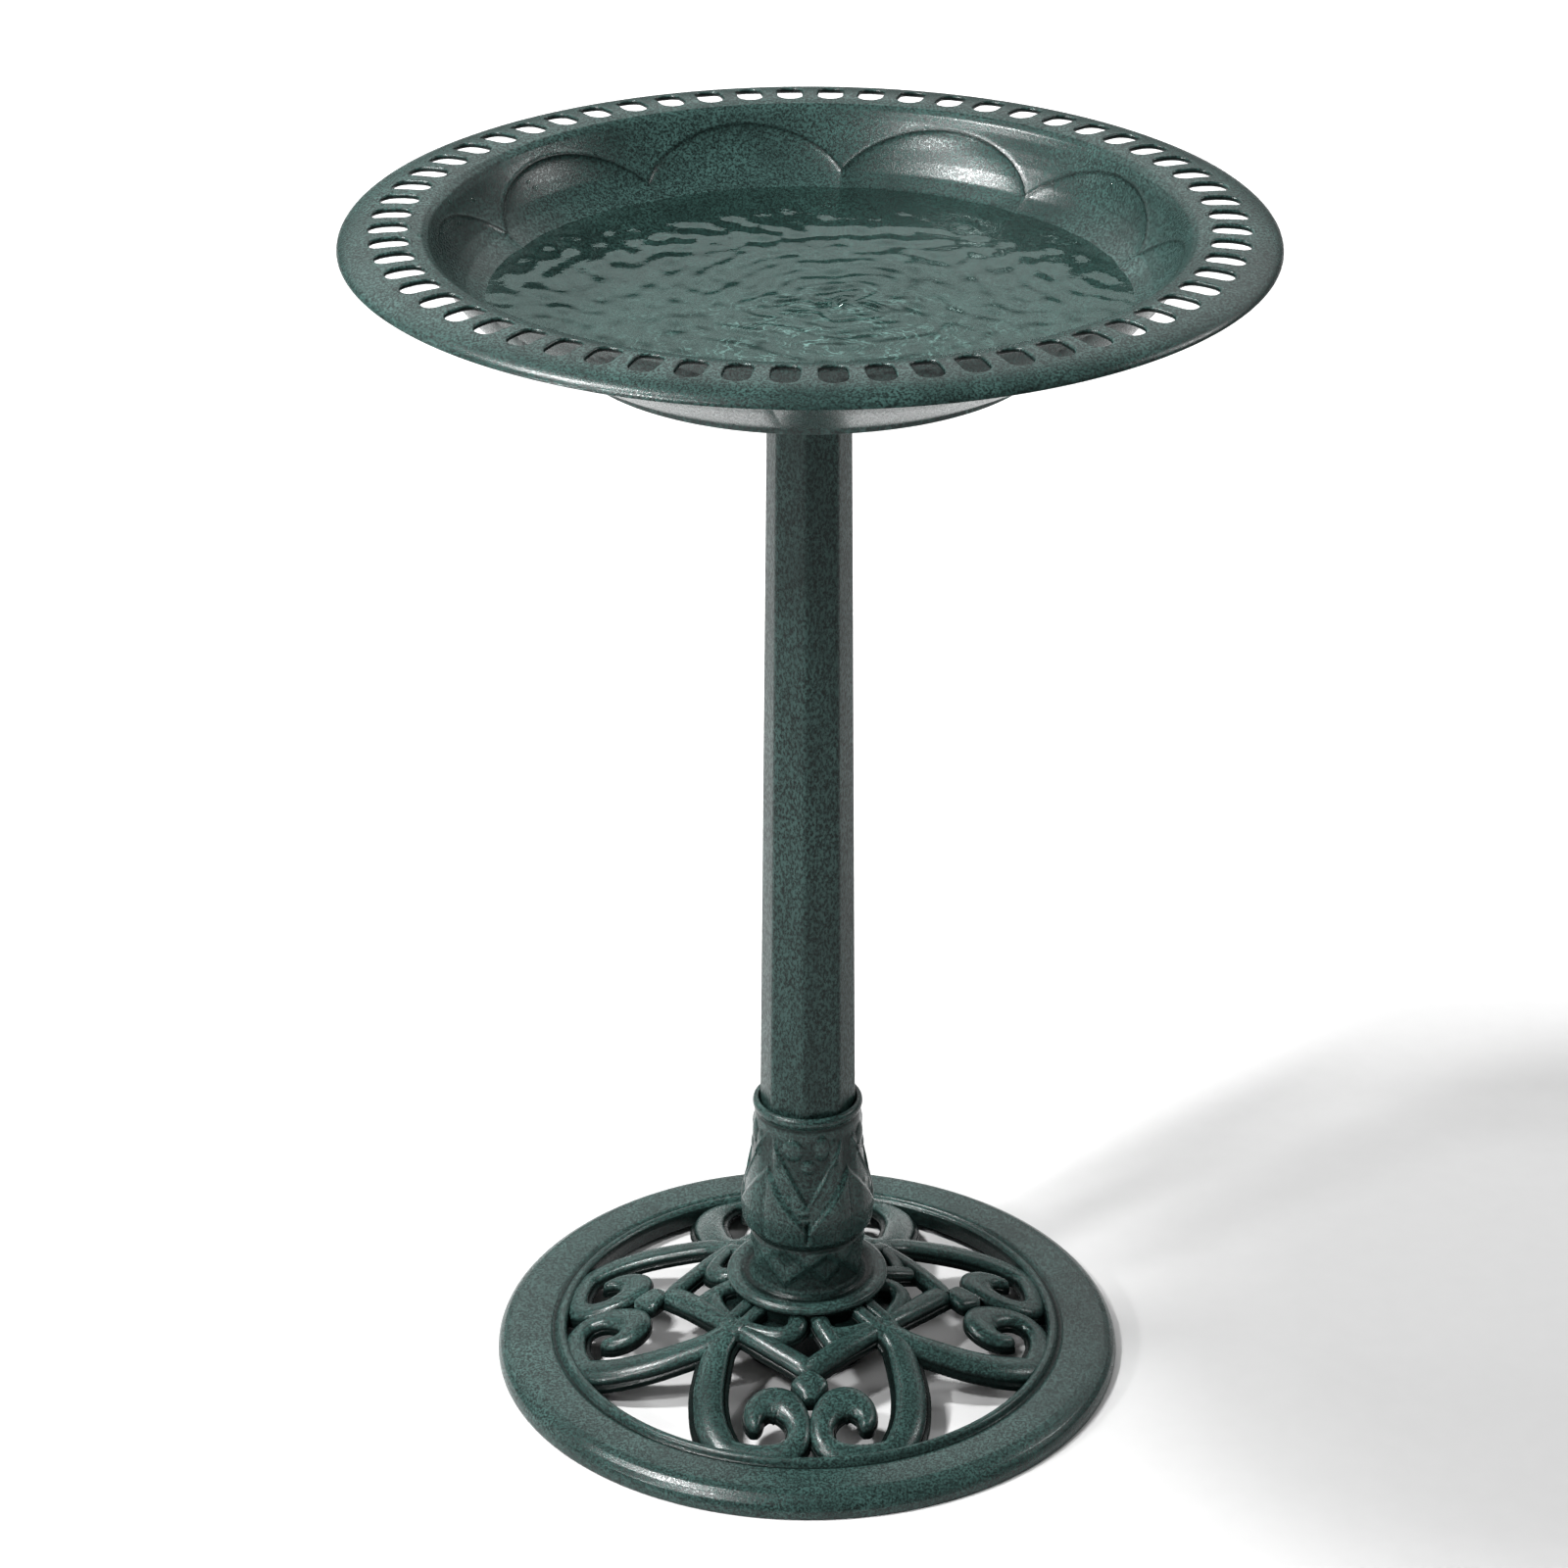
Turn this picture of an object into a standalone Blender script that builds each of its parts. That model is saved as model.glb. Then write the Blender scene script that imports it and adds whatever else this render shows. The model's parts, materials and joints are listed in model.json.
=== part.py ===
"""Pedestal bird bath: a round bowl on an eight-sided column, a leaf collar and a pierced base.

Units are metres, +Z is up and the origin is on the ground under the column's axis.
The bowl lifts off the column head along +Z.
"""

import math

import bmesh
import bpy
from mathutils import Matrix, Vector

# Overall sizes
BOWL_RADIUS = 0.255
HEIGHT = 0.715
BASE_RADIUS = 0.187
GAP = 0.0003  # left between neighbouring pieces

# Bowl
WALL = 0.003
FLOOR_RADIUS = 0.128
FLOOR_TOP = 0.6485
FOOT_RADIUS = 0.1319
FOOT_BOTTOM = 0.6435
SLOT_COUNT = 60
SLOT_MIDDLE = 0.2270
SLOT_LENGTH = 0.0215
SLOT_WIDTH = 0.0145

# Column, eight-sided, hollow and tapered
SIDES = 8
COLUMN_TURN = math.radians(-4.0)
COLUMN_CORNER = 0.0284  # from the axis to a corner, inside the collar
COLUMN_TAPER = 0.0102  # loss of that distance for each metre of height above the collar
COLUMN_BOTTOM = 0.0648
COLUMN_TOP = 0.606
COLUMN_WALL = 0.003
WEB = 0.008  # thickness of the two cross walls that take the screws
TOP_WEB_TOP = 0.600
DRAIN_RADIUS = 0.005

# Collar: a socket for the column, with a flange that sits on the base's hub
COLLAR_BOTTOM = 0.0475
COLLAR_FLANGE_RADIUS = 0.0481
COLLAR_FLOOR_BOTTOM = 0.0585
COLLAR_FLOOR_TOP = 0.0645
COLLAR_TOP = 0.1725
COLLAR_BORE_RADIUS = 0.0289
COLLAR_CAVITY_RADIUS = 0.024

# Base: a flat ring and a shallow dome of scroll-work that rises to the hub
RING_INNER_RADIUS = 0.146
RING_TOP = 0.014
RING_WALL = 0.003
HUB_TOP = 0.0472
HUB_THICKNESS = 0.0045
HUB_RADIUS = 0.047
HUB_TUBE_OUTER = 0.040
HUB_TUBE_INNER = 0.036
HUB_TUBE_BOTTOM = 0.002
BASE_TURN = math.radians(1.0)
MOTIFS = 4
BAR_HEIGHT = 0.009

# Column head and the socket under the bowl
HEAD_FLANGE_RADIUS = 0.0265
HEAD_FLANGE_TOP = 0.6097
PLUG_TOP = 0.640
PLUG_RADIUS_BOTTOM = 0.0191
PLUG_RADIUS_TOP = 0.0175
PLUG_FIT = 0.00045
PLUG_CAVITY_RADIUS = 0.0135
PLUG_FLOOR = 0.6105
SPIGOT_RADIUS = 0.0178
KEYS = 4
KEY_WIDTH = 0.003
KEY_REACH = 0.0212
KEY_TOP = 0.634
SOCKET_TOP = 0.6342
SOCKET_PLATE = 0.0037
SOCKET_PLATE_RADIUS = 0.042
SOCKET_TUBE_RADIUS = 0.025
BOSS_RADIUS = 0.005

# Screws: thread diameter 3.6 mm, pan heads
SHANK_RADIUS = 0.0018
HOLE_RADIUS = SHANK_RADIUS + GAP
SCREW_HEAD_RADIUS = 0.0040
SCREW_HEAD_HEIGHT = 0.003
SCREWS_PER_JOINT = 4
BASE_SCREW_CIRCLE = 0.028
COLUMN_SCREW_CIRCLE = 0.012
HEAD_SCREW_CIRCLE = 0.0085
SOCKET_SCREW_CIRCLE = 0.034

ROUND_STEPS = 60
EIGHTHS = [math.pi * k / 4 for k in range(8)]


def clear_scene():
    for old in list(bpy.data.objects):
        bpy.data.objects.remove(old, do_unlink=True)


def material(name, colour, roughness, metallic):
    made = bpy.data.materials.new(name)
    made.use_nodes = True
    shader = made.node_tree.nodes["Principled BSDF"]
    shader.inputs["Base Color"].default_value = (*colour, 1.0)
    shader.inputs["Roughness"].default_value = roughness
    shader.inputs["Metallic"].default_value = metallic
    return made


def add_object(name, shape, finish=None):
    """A new object from a bmesh, shaded smooth with sharp edges kept."""
    mesh = bpy.data.meshes.new(name)
    bmesh.ops.recalc_face_normals(shape, faces=shape.faces)
    shape.to_mesh(mesh)
    shape.free()
    mesh.shade_smooth()
    mesh.set_sharp_from_angle(angle=math.radians(35))
    if finish:
        mesh.materials.append(finish)
    made = bpy.data.objects.new(name, mesh)
    bpy.context.scene.collection.objects.link(made)
    return made


def hide_helper(helper):
    helper.hide_render = True
    helper.display_type = "WIRE"
    return helper


def boolean(target, helper, operation):
    change = target.modifiers.new(helper.name, "BOOLEAN")
    change.operation = operation
    change.solver = "EXACT"
    change.object = hide_helper(helper)


def turned(outline, steps=ROUND_STEPS):
    """A bmesh turned about Z from a closed outline of (radius, height) points."""
    shape = bmesh.new()
    corners = [shape.verts.new((radius, 0.0, height)) for radius, height in outline]
    loop = [shape.edges.new((a, b)) for a, b in zip(corners, corners[1:] + corners[:1])]
    bmesh.ops.spin(
        shape, geom=corners + loop, axis=(0, 0, 1), cent=(0, 0, 0), steps=steps,
        angle=2 * math.pi, use_merge=True, use_duplicate=False,
    )
    bmesh.ops.remove_doubles(shape, verts=shape.verts, dist=1e-6)
    shape.edges.ensure_lookup_table()
    on_axis = [edge for edge in shape.edges if not edge.link_faces]
    bmesh.ops.delete(shape, geom=on_axis, context="EDGES")
    return shape


def arc(middle, radius, start, end, steps):
    """Points on an arc, angles in degrees, as (radius, height) pairs."""
    points = []
    for step in range(steps + 1):
        angle = math.radians(start + (end - start) * step / steps)
        points.append((middle[0] + radius * math.cos(angle), middle[1] + radius * math.sin(angle)))
    return points


def rod(radius, bottom, top, steps=16, centre=(0.0, 0.0)):
    shape = bmesh.new()
    place = Matrix.Translation((centre[0], centre[1], (bottom + top) / 2))
    bmesh.ops.create_cone(
        shape, cap_ends=True, segments=steps, radius1=radius, radius2=radius,
        depth=top - bottom, matrix=place,
    )
    return shape


def prism(outline, turn, bottom, top):
    """An upright solid with the given outline of (x, y) points in millimetres, turned about Z."""
    shape = bmesh.new()
    face = shape.faces.new([shape.verts.new((x / 1000, y / 1000, bottom)) for x, y in outline])
    raised = bmesh.ops.extrude_face_region(shape, geom=[face])
    upper = [item for item in raised["geom"] if isinstance(item, bmesh.types.BMVert)]
    bmesh.ops.translate(shape, verts=upper, vec=(0, 0, top - bottom))
    bmesh.ops.transform(shape, matrix=Matrix.Rotation(turn, 4, "Z"), verts=shape.verts)
    bmesh.ops.recalc_face_normals(shape, faces=shape.faces)
    return shape


def around(circle, index, count, turn=0.0):
    angle = turn + 2 * math.pi * index / count
    return circle * math.cos(angle), circle * math.sin(angle)


def joined(shapes):
    """One bmesh that holds several separate ones."""
    whole = bmesh.new()
    for shape in shapes:
        part = bpy.data.meshes.new("part")
        shape.to_mesh(part)
        shape.free()
        whole.from_mesh(part)
        bpy.data.meshes.remove(part)
    return whole


def screw_holes(name, circle, bottom, top, turn):
    """A cutter of four round holes on a circle."""
    spots = [around(circle, index, SCREWS_PER_JOINT, turn) for index in range(SCREWS_PER_JOINT)]
    return add_object(name, joined([rod(HOLE_RADIUS, bottom, top, 12, spot) for spot in spots]))


def screws(name, circle, head_face, reach, turn, finish):
    """Four pan-head screws. The shank leaves head_face and runs reach along Z, up or down."""
    way = math.copysign(1.0, reach)
    crown = SCREW_HEAD_HEIGHT
    tip = abs(reach)
    outline = [
        (0.0, -crown),
        (SCREW_HEAD_RADIUS * 0.6, -crown),
        (SCREW_HEAD_RADIUS, -crown * 0.45),
        (SCREW_HEAD_RADIUS, 0.0),
        (SHANK_RADIUS, 0.0),
        (SHANK_RADIUS, tip * 0.8),
        (0.0, tip),
    ]
    for index in range(SCREWS_PER_JOINT):
        shape = turned([(radius, way * height) for radius, height in outline], steps=10)
        made = add_object(f"{name}_{index + 1}", shape, finish)
        x, y = around(circle, index, SCREWS_PER_JOINT, turn)
        made.location = (x, y, head_face)


def bowl_wall(offset):
    """The bowl's inner line from the floor to the rim's crest, moved outwards by offset."""
    line = [
        (FLOOR_RADIUS, FLOOR_TOP),
        (0.134, 0.6505),
        (0.186, 0.6815),
        (0.195, 0.6950),
        (0.204, 0.7082),
        (0.212, 0.7140),
        (0.219, HEIGHT),
        (0.228, HEIGHT),
        (0.241, 0.7133),
        (0.251, 0.7101),
        (BOWL_RADIUS, 0.7068),
    ]
    moved = []
    for index, (radius, height) in enumerate(line):
        before = Vector(line[max(index - 1, 0)])
        after = Vector(line[min(index + 1, len(line) - 1)])
        along = (after - before).normalized()
        moved.append((radius + offset * along.y, height - offset * along.x))
    return moved


def slot_cutter():
    """Round-ended slots through the rim, one every six degrees."""
    half = 500 * (SLOT_LENGTH - SLOT_WIDTH)
    end = 500 * SLOT_WIDTH
    middle = 1000 * SLOT_MIDDLE
    outline = arc((middle + half, 0.0), end, -90, 90, 3) + arc((middle - half, 0.0), end, 90, 270, 3)
    turns = [2 * math.pi * (index + 0.5) / SLOT_COUNT for index in range(SLOT_COUNT)]
    slots = [prism(outline, turn, HEIGHT - 0.01, HEIGHT + 0.004) for turn in turns]
    return add_object("bowl_slots", joined(slots))


def make_bowl(finish):
    """The dished shell with its slotted rim, foot ring and four screw bosses."""
    inner = bowl_wall(0.0)
    outer = bowl_wall(WALL)[1:]
    lip = [(BOWL_RADIUS, 0.7054), (BOWL_RADIUS - WALL, 0.7054)]
    under = list(reversed(outer[:-1]))
    foot = [
        (FOOT_RADIUS, 0.6470),
        (FOOT_RADIUS, FOOT_BOTTOM),
        (FOOT_RADIUS - WALL, FOOT_BOTTOM),
        (FOOT_RADIUS - WALL, FLOOR_TOP - WALL),
    ]
    outline = [(0.0, FLOOR_TOP)] + inner + lip + under + foot + [(0.0, FLOOR_TOP - WALL)]
    bowl = add_object("bowl", turned(outline), finish)
    boolean(bowl, slot_cutter(), "DIFFERENCE")
    spots = [around(SOCKET_SCREW_CIRCLE, index, SCREWS_PER_JOINT) for index in range(SCREWS_PER_JOINT)]
    bosses = [rod(BOSS_RADIUS, SOCKET_TOP + GAP, FLOOR_TOP - 0.0015, 16, spot) for spot in spots]
    boolean(bowl, add_object("bowl_bosses", joined(bosses)), "UNION")
    boss_holes = screw_holes("boss_holes", SOCKET_SCREW_CIRCLE, SOCKET_TOP - 0.002, 0.6440, 0.0)
    boolean(bowl, boss_holes, "DIFFERENCE")


def make_socket(finish):
    """The keyed socket that fastens under the bowl and drops over the column head."""
    bottom = HEAD_FLANGE_TOP + GAP
    bore_bottom = PLUG_RADIUS_BOTTOM + PLUG_FIT
    bore_top = PLUG_RADIUS_TOP + PLUG_FIT
    outline = [
        (bore_bottom, bottom),
        (SOCKET_TUBE_RADIUS, bottom),
        (SOCKET_TUBE_RADIUS, SOCKET_TOP - SOCKET_PLATE - 0.002),
        (SOCKET_TUBE_RADIUS + 0.002, SOCKET_TOP - SOCKET_PLATE),
        (SOCKET_PLATE_RADIUS, SOCKET_TOP - SOCKET_PLATE),
        (SOCKET_PLATE_RADIUS, SOCKET_TOP),
        (bore_top, SOCKET_TOP),
    ]
    socket = add_object("bowl_socket", turned(outline, 32), finish)
    keyways = key_shapes("socket_keyways", GAP + 0.0002, bottom - 0.002, SOCKET_TOP + 0.002)
    boolean(socket, keyways, "DIFFERENCE")
    holes = screw_holes("socket_holes", SOCKET_SCREW_CIRCLE, SOCKET_TOP - 0.008, SOCKET_TOP + 0.002, 0.0)
    boolean(socket, holes, "DIFFERENCE")


def key_shapes(name, margin, bottom, top):
    """Four radial keys on the head's plug, or their keyways with a margin."""
    shapes = []
    inner = PLUG_CAVITY_RADIUS + 0.0015
    length = KEY_REACH + margin - inner
    for index in range(KEYS):
        shape = bmesh.new()
        size = Matrix.Diagonal((length, KEY_WIDTH + 2 * margin, top - bottom, 1))
        turn = Matrix.Rotation(2 * math.pi * (index + 0.5) / KEYS, 4, "Z")
        middle = Matrix.Translation((inner + length / 2, 0, (bottom + top) / 2))
        bmesh.ops.create_cube(shape, size=1.0, matrix=turn @ middle @ size)
        shapes.append(shape)
    return add_object(name, joined(shapes))


def make_head(finish):
    """The column head: a spigot inside the column, a flange and a keyed plug."""
    bottom = TOP_WEB_TOP + GAP
    outline = [
        (0.0, bottom),
        (SPIGOT_RADIUS, bottom),
        (SPIGOT_RADIUS, COLUMN_TOP + GAP),
        (HEAD_FLANGE_RADIUS, COLUMN_TOP + GAP),
        (HEAD_FLANGE_RADIUS, HEAD_FLANGE_TOP),
        (PLUG_RADIUS_BOTTOM, HEAD_FLANGE_TOP),
        (PLUG_RADIUS_TOP, PLUG_TOP),
        (PLUG_CAVITY_RADIUS, PLUG_TOP),
        (PLUG_CAVITY_RADIUS, PLUG_FLOOR),
        (0.0, PLUG_FLOOR),
    ]
    head = add_object("column_head", turned(outline, 32), finish)
    boolean(head, key_shapes("head_keys", 0.0, HEAD_FLANGE_TOP - 0.001, KEY_TOP), "UNION")
    holes = screw_holes("head_holes", HEAD_SCREW_CIRCLE, bottom - 0.002, PLUG_FLOOR + 0.002, math.pi / 4)
    boolean(head, holes, "DIFFERENCE")


def column_radius(height):
    """Distance from the axis to a corner of the column, in metres."""
    return COLUMN_CORNER - COLUMN_TAPER * max(height - COLLAR_TOP, 0.0)


def octagon_tube(levels, shrink):
    """A closed eight-sided solid through the given heights, drawn in by shrink at its flats."""
    shape = bmesh.new()
    rings = []
    for height in levels:
        corner = column_radius(height) - shrink / math.cos(math.pi / SIDES)
        ring = []
        for side in range(SIDES):
            angle = COLUMN_TURN - math.pi / 2 + 2 * math.pi * side / SIDES
            ring.append(shape.verts.new((corner * math.cos(angle), corner * math.sin(angle), height)))
        rings.append(ring)
    for lower, upper in zip(rings, rings[1:]):
        for side in range(SIDES):
            after = (side + 1) % SIDES
            shape.faces.new((lower[side], lower[after], upper[after], upper[side]))
    upright = [edge for edge in shape.edges if abs(edge.verts[0].co.z - edge.verts[1].co.z) > 0.001]
    shape.faces.new(list(reversed(rings[0])))
    shape.faces.new(rings[-1])
    if shrink == 0.0:
        bmesh.ops.bevel(
            shape, geom=upright, offset=0.0028, segments=2, profile=0.5, affect="EDGES",
        )
    return shape


def make_column(finish):
    """The hollow tapered column with a cross wall near each end."""
    column = add_object("column", octagon_tube([COLUMN_BOTTOM, COLLAR_TOP, COLUMN_TOP], 0.0), finish)
    hollow = octagon_tube([COLUMN_BOTTOM + WEB, COLLAR_TOP, TOP_WEB_TOP - WEB], COLUMN_WALL)
    mouth = octagon_tube([TOP_WEB_TOP, COLUMN_TOP + 0.004], COLUMN_WALL)
    boolean(column, add_object("column_hollow", joined([hollow, mouth])), "DIFFERENCE")
    drain = rod(DRAIN_RADIUS, COLUMN_BOTTOM - 0.002, TOP_WEB_TOP + 0.002, 16)
    boolean(column, add_object("column_drain", drain), "DIFFERENCE")
    low = screw_holes(
        "column_low_holes", COLUMN_SCREW_CIRCLE, COLUMN_BOTTOM - 0.002, COLUMN_BOTTOM + WEB + 0.002, 0.0
    )
    boolean(column, low, "DIFFERENCE")
    high = screw_holes(
        "column_high_holes", HEAD_SCREW_CIRCLE, TOP_WEB_TOP - WEB - 0.002, TOP_WEB_TOP + 0.002, math.pi / 4
    )
    boolean(column, high, "DIFFERENCE")


def make_collar(finish):
    """The collar's turned form: flange, drum, bulge and beaded top, bored for the column."""
    outline = [
        (COLLAR_CAVITY_RADIUS, COLLAR_BOTTOM),
        (0.0462, COLLAR_BOTTOM),
        (COLLAR_FLANGE_RADIUS, 0.0493),
        (COLLAR_FLANGE_RADIUS, 0.0517),
        (0.0462, 0.0535),
        (0.0405, 0.0535),
        (0.0372, 0.0515),
        (0.0335, 0.0530),
        (0.0320, 0.0640),
        (0.0331, 0.0777),
        (0.0364, 0.0910),
        (0.0379, 0.1050),
        (0.0359, 0.1196),
        (0.0333, 0.1402),
        (0.0324, 0.1580),
        (0.0330, 0.1630),
        (0.0328, 0.1690),
        (0.0312, COLLAR_TOP),
        (COLLAR_BORE_RADIUS, COLLAR_TOP),
        (COLLAR_BORE_RADIUS, COLLAR_FLOOR_TOP),
        (0.0, COLLAR_FLOOR_TOP),
        (0.0, COLLAR_FLOOR_BOTTOM),
        (COLLAR_CAVITY_RADIUS, COLLAR_FLOOR_BOTTOM),
    ]
    collar = add_object("collar", turned(outline, 32), finish)
    through = screw_holes(
        "collar_floor_holes", COLUMN_SCREW_CIRCLE, COLLAR_FLOOR_BOTTOM - 0.002, COLLAR_FLOOR_TOP + 0.002, 0.0
    )
    boolean(collar, through, "DIFFERENCE")
    blind = screw_holes(
        "collar_blind_holes", BASE_SCREW_CIRCLE, COLLAR_BOTTOM - 0.002, COLLAR_BOTTOM + 0.012, math.pi / 4
    )
    boolean(collar, blind, "DIFFERENCE")


def dome_height(distance):
    """Height of the scroll-work's top at a distance from the axis."""
    rise = (RING_INNER_RADIUS - distance) / (RING_INNER_RADIUS - HUB_RADIUS)
    return RING_TOP + (HUB_TOP - RING_TOP) * max(rise, 0.0) ** 0.85


def motif_holes(turn):
    """The five holes of one scroll-work motif and the gap beside it; +Y is its middle line."""
    scroll_hole = [
        (36, 62), (28, 64.5), (15, 80), (9.5, 88), (11.5, 95), (14, 100), (20, 98), (28, 99.5), (35, 105),
        (38.5, 113), (38, 123), (32, 129), (27, 125.5), (22, 122.5), (17, 125), (15.5, 131), (20, 138.5),
        (30, 139.5), (38, 135.5), (44, 128), (47.5, 116), (48, 104), (46, 88), (41, 68),
    ]
    mirrored = [(-x, y) for x, y in reversed(scroll_hole)]
    diamond = [(0, 58), (-10, 67), (0, 77.5), (10, 67)]
    hub_holes = [[(x + 4 * math.cos(a), 48.5 + 4 * math.sin(a)) for a in EIGHTHS] for x in (-22.5, 22.5)]
    ring_edge = RING_INNER_RADIUS * 1000 - 0.5
    reach = math.radians(18)
    rim = [(ring_edge * math.sin(reach * k / 3), ring_edge * math.cos(reach * k / 3)) for k in range(-3, 4)]
    gap = [(0, 89)] + [(-9, 106), (-23, 124), (-36, 135)] + rim + [(36, 135), (23, 124), (9, 106)]
    bottom, top = -0.002, HUB_TOP + 0.01
    shapes = [prism(line, turn, bottom, top) for line in [scroll_hole, mirrored, diamond] + hub_holes]
    return shapes + [prism(gap, turn + math.pi / MOTIFS, bottom, top)]


def make_base(finish):
    """The pierced base: a hollow ring, a domed plate of scroll-work and a hub, in one moulding."""
    dome = [0.060, 0.080, 0.100, 0.122, RING_INNER_RADIUS]
    rim = [
        (0.1475, RING_TOP + 0.002),
        (0.1505, RING_TOP + 0.002),
        (0.1530, RING_TOP),
        (0.1740, RING_TOP),
        (0.1815, 0.0118),
        (0.1855, 0.0080),
        (BASE_RADIUS, 0.0030),
        (BASE_RADIUS, 0.0),
        (BASE_RADIUS - RING_WALL, 0.0),
        (0.1800, 0.0080),
        (0.1730, RING_TOP - RING_WALL),
        (0.1505, RING_TOP - RING_WALL),
        (0.1500, RING_TOP - BAR_HEIGHT),
    ]
    hub = [
        (HUB_TUBE_OUTER, HUB_TOP - BAR_HEIGHT),
        (HUB_TUBE_OUTER, HUB_TUBE_BOTTOM),
        (HUB_TUBE_INNER, HUB_TUBE_BOTTOM),
        (HUB_TUBE_INNER, HUB_TOP - HUB_THICKNESS),
        (0.0, HUB_TOP - HUB_THICKNESS),
    ]
    top = [(0.0, HUB_TOP), (HUB_RADIUS, HUB_TOP)] + [(r, dome_height(r)) for r in dome]
    under = [(r, dome_height(r) - BAR_HEIGHT) for r in reversed(dome)]
    base = add_object("base", turned(top + rim + under + hub, 48), finish)
    holes = []
    for index in range(MOTIFS):
        holes += motif_holes(BASE_TURN + 2 * math.pi * index / MOTIFS)
    boolean(base, add_object("scroll_holes", joined(holes)), "DIFFERENCE")
    screw_cutter = screw_holes(
        "hub_screw_holes", BASE_SCREW_CIRCLE, HUB_TOP - HUB_THICKNESS - 0.002, HUB_TOP + 0.002, math.pi / 4
    )
    boolean(base, screw_cutter, "DIFFERENCE")


def make_all():
    clear_scene()
    resin = (0.030, 0.075, 0.066)
    steel = material("steel", (0.55, 0.55, 0.55), 0.35, 1.0)
    make_base(material("base_resin", resin, 0.40, 0.0))
    make_collar(material("collar_resin", resin, 0.40, 0.0))
    make_column(material("column_resin", resin, 0.42, 0.0))
    make_head(material("head_resin", resin, 0.50, 0.0))
    make_socket(material("socket_resin", resin, 0.50, 0.0))
    make_bowl(material("bowl_resin", resin, 0.35, 0.0))
    screws("base_screw", BASE_SCREW_CIRCLE, HUB_TOP - HUB_THICKNESS - GAP, 0.0145, math.pi / 4, steel)
    screws("column_screw", COLUMN_SCREW_CIRCLE, COLLAR_FLOOR_BOTTOM - GAP, 0.0135, 0.0, steel)
    screws("head_screw", HEAD_SCREW_CIRCLE, PLUG_FLOOR + GAP, -0.0175, math.pi / 4, steel)
    screws("socket_screw", SOCKET_SCREW_CIRCLE, SOCKET_TOP - SOCKET_PLATE - GAP, 0.0125, 0.0, steel)


make_all()
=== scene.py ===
"""Visual model of a pedestal bird bath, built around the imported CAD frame.

Lengths are in metres unless a name or comment says millimetres. The front is -Y.
"""

import json
import math

import bmesh
import bpy
import numpy as np
from mathutils import Matrix, Vector

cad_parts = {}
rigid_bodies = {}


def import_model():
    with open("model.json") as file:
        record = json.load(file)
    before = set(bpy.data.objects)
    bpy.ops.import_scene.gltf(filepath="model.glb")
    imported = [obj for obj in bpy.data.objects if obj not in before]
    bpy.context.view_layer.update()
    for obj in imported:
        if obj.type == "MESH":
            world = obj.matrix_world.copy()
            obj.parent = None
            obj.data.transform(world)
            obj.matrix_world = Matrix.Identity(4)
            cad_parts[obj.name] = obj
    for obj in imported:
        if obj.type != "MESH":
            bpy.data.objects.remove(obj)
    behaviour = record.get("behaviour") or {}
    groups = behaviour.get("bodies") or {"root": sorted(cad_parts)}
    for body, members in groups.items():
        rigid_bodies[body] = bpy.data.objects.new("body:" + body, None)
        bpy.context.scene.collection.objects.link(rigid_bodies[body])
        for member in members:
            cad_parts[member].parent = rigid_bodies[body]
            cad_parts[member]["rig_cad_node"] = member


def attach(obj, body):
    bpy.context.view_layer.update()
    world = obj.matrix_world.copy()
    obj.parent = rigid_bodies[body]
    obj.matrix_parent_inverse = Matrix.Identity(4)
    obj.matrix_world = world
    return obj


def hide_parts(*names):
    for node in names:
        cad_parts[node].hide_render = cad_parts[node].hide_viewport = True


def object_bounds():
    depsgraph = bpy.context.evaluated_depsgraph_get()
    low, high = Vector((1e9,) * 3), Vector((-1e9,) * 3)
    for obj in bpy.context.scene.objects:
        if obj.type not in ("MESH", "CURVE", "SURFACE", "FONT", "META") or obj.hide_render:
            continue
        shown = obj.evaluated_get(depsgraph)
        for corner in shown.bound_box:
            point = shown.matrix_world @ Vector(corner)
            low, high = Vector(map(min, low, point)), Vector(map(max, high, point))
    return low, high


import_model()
CAD_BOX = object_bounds()

STAND = "stand"
BOWL_BODY = "bowl_body"
SCREWS = 4

# Bowl
RIM_STEPS = 1080
SLOTS = 60
SLOT_MIDDLE = 0.2270
SLOT_HALF_LENGTH = 0.01075
SLOT_HALF_WIDTH = 0.00725
CELL_INNER = 0.2138
CELL_OUTER = 0.2405
WALL = 0.003
PETAL_TURN = 102.3  # degrees, middle of one petal
PETAL_HALF = 18.0  # degrees, ten petals side by side
WATER_LEVEL = 0.6745
SPLASH = (0.0125, -0.0194)  # middle of the ripples

# Column and collar
COLUMN_FOOT = 0.0650
COLUMN_TOP = 0.6060
COLUMN_CORNER = 0.0284
COLUMN_TAPER = 0.0102
COLUMN_STRAIGHT = 0.1725  # height at which the taper starts
COLUMN_TURN = math.radians(-4.0)
ARRIS_RADIUS = 0.0050
COLLAR_BORE = 0.0289
COLLAR_RADIUS = 0.034  # where widths in degrees are turned into metres

# Base
BASE_TURN = math.radians(1.0)
RING_INNER = 0.146
RING_TOP = 0.014
HUB_TOP = 0.0472
DOME_START = 0.047
BAND_DEPTH = 0.0090


# ---------------------------------------------------------------- mesh helpers

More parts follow.
